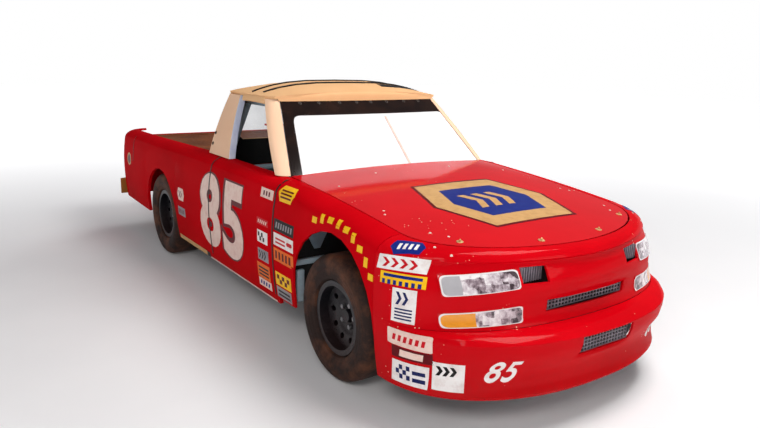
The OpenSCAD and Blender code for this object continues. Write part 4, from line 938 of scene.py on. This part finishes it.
def knit_finish(name, main, other):
    """Knitted cover cloth: fine ribs, a soft sheen and wear in patches."""
    made, tree, at = new_finish(name)
    wear = cloud(tree, at, 9.0, 5.0)
    ribs = [knot(tree, "TexWave", {"Vector": at, "Scale": 90.0, "Distortion": 1.5}, bands_direction=way).outputs["Fac"]
            for way in ("Y", "Z")]
    feed(tree, Base_Color=shades(tree, wear, [(0, tone(*main)), (1, tone(*other))]),
         Roughness=spread(tree, wear, 0.0, 1.0, 0.7, 0.95), Sheen_Weight=0.3, Specular_IOR_Level=0.2,
         Normal=bumps(tree, reckon(tree, "MULTIPLY", *ribs), 0.35, 0.0008))
    return made


grey_knit = knit_finish("grey_knit", (70, 84, 86), (96, 110, 112))
seat_lean = Matrix.Translation((0.0, 0.4, 0.323)) @ Matrix.Rotation(math.radians(-10), 4, "Y")
upright = Matrix.Rotation(math.radians(90), 4, "Y")
# columns: name, length, width, thickness, channels across, place of its middle with its face along +Z
for name, long, wide, deep, channels, place in [
    ("seat_pad", 0.40, 0.33, 0.046, 4, Matrix.Translation((0.185, 0.4, 0.398))),
    ("back_pad", 0.50, 0.35, 0.042, 5, seat_lean @ Matrix.Translation((0.033, 0.0, 0.335)) @ upright),
    ("head_pad", 0.13, 0.20, 0.034, 2, seat_lean @ Matrix.Translation((0.039, 0.0, 0.695)) @ upright),
]:
    pad = start(bpy.ops.mesh.primitive_cube_add, name, size=1.0)
    bpy.ops.object.mode_set(mode="EDIT")
    bpy.ops.mesh.select_all(action="SELECT")
    bpy.ops.mesh.subdivide(number_cuts=15)
    bpy.ops.object.mode_set(mode="OBJECT")
    for point in pad.data.vertices:
        u, v, w = point.co
        full = max(0.0, 1 - (2 * u) ** 4) * max(0.0, 1 - (2 * v) ** 4)
        seam = 0.5 + 0.5 * math.cos(2 * math.pi * channels * (u + 0.5))
        pull_u = 1 - 0.03 * (1 - (2 * v) ** 2) * abs(2 * u) ** 6
        pull_v = 1 - 0.03 * (1 - (2 * u) ** 2) * abs(2 * v) ** 6
        crown = w * deep * (0.35 + 0.65 * full ** 0.5) - 0.007 * seam ** 6 * full
        point.co = (u * long * pull_u, v * wide * pull_v, crown if w > 0 else w * deep)
    shape_with(pad, "SUBSURF", levels=1, render_levels=1)
    bpy.ops.object.shade_smooth()
    pad.data.transform(place)
    settle(pad, grey_knit)

belt_web = knit_finish("belt_web", (18, 18, 20), (34, 34, 36))
# columns: share of the way, then forward, inward and up from the seat's hip
route = [(0.0, -0.075, 1.0, 0.585), (0.12, -0.04, 1.0, 0.628), (0.25, 0.02, 1.0, 0.614), (0.4, 0.064, 0.95, 0.53),
         (0.8, 0.062, 0.7, 0.19), (1.0, 0.12, 0.28, 0.112)]
for side, y in (("right", -0.085), ("left", 0.085)):
    belt = start(bpy.ops.mesh.primitive_grid_add, "belt_" + side, x_subdivisions=24, y_subdivisions=2, size=1.0)
    for point in belt.data.vertices:
        share = point.co.x + 0.5
        i = max(k for k in range(len(route) - 1) if route[k][0] <= share + 1e-9)
        here, there = route[i], route[i + 1]
        part = (share - here[0]) / (there[0] - here[0])
        ahead, inward, up = (here[k] + part * (there[k] - here[k]) for k in (1, 2, 3))
        point.co = seat_lean @ Vector((ahead, y * inward + point.co.y * 0.05, up))
    shape_with(belt, "SOLIDIFY", thickness=0.002, offset=0.0)
    settle(belt, belt_web, 40)

# Dials: five plain gauges in the dash, each a turned bezel with a black face and a pale pointer.
# Turned alloy pressed into the sheet; the faces carry no figures.
dial_face = worn_finish("dial_face", (16, 16, 18), (24, 24, 26), 40.0, (0.3, 0.4), 0.0, 0.1)
dash_x, pointer_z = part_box("dash")[0].x, 0.0089
facing_seat = Matrix.Rotation(math.radians(-90), 4, "Y") @ Matrix.Rotation(math.radians(-90), 4, "Z")
# columns: aside, height, radius
for i, (y, z, r) in enumerate([
    (0.55, 0.875, 0.033), (0.475, 0.875, 0.033), (0.38, 0.885, 0.052), (0.285, 0.875, 0.033), (0.21, 0.875, 0.033),
]):
    dial = start(bpy.ops.mesh.primitive_cylinder_add, "dial_%d" % i, vertices=32, radius=r, depth=0.012,
                 location=(0, 0, 0.006))
    bpy.ops.object.transform_apply(location=True, rotation=False, scale=False)
    for finish in (sheet_alloy, dial_face, rivet_pale):
        dial.data.materials.append(finish)
    bpy.context.tool_settings.mesh_select_mode = (False, False, True)
    for face in dial.data.polygons:
        face.select = face.normal.z > 0.9
    bpy.ops.object.mode_set(mode="EDIT")
    bpy.ops.mesh.inset(thickness=r * 0.14, depth=0.002)
    bpy.ops.mesh.inset(thickness=r * 0.04, depth=-0.006)
    dial.active_material_index = 1
    bpy.ops.object.material_slot_assign()
    bpy.ops.mesh.primitive_plane_add(size=1.0, location=(0, r * 0.3, pointer_z))
    bpy.ops.transform.resize(value=(r * 0.05, r * 0.8, 1.0), center_override=(0, r * 0.3, pointer_z))
    bpy.ops.transform.rotate(value=math.radians(40 - 20 * i), orient_axis="Z", center_override=(0, 0, pointer_z))
    dial.active_material_index = 2
    bpy.ops.object.material_slot_assign()
    bpy.ops.object.mode_set(mode="OBJECT")
    smooth(35)
    dial.data.transform(Matrix.Translation((dash_x, y, z)) @ facing_seat)
    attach(dial, "chassis")
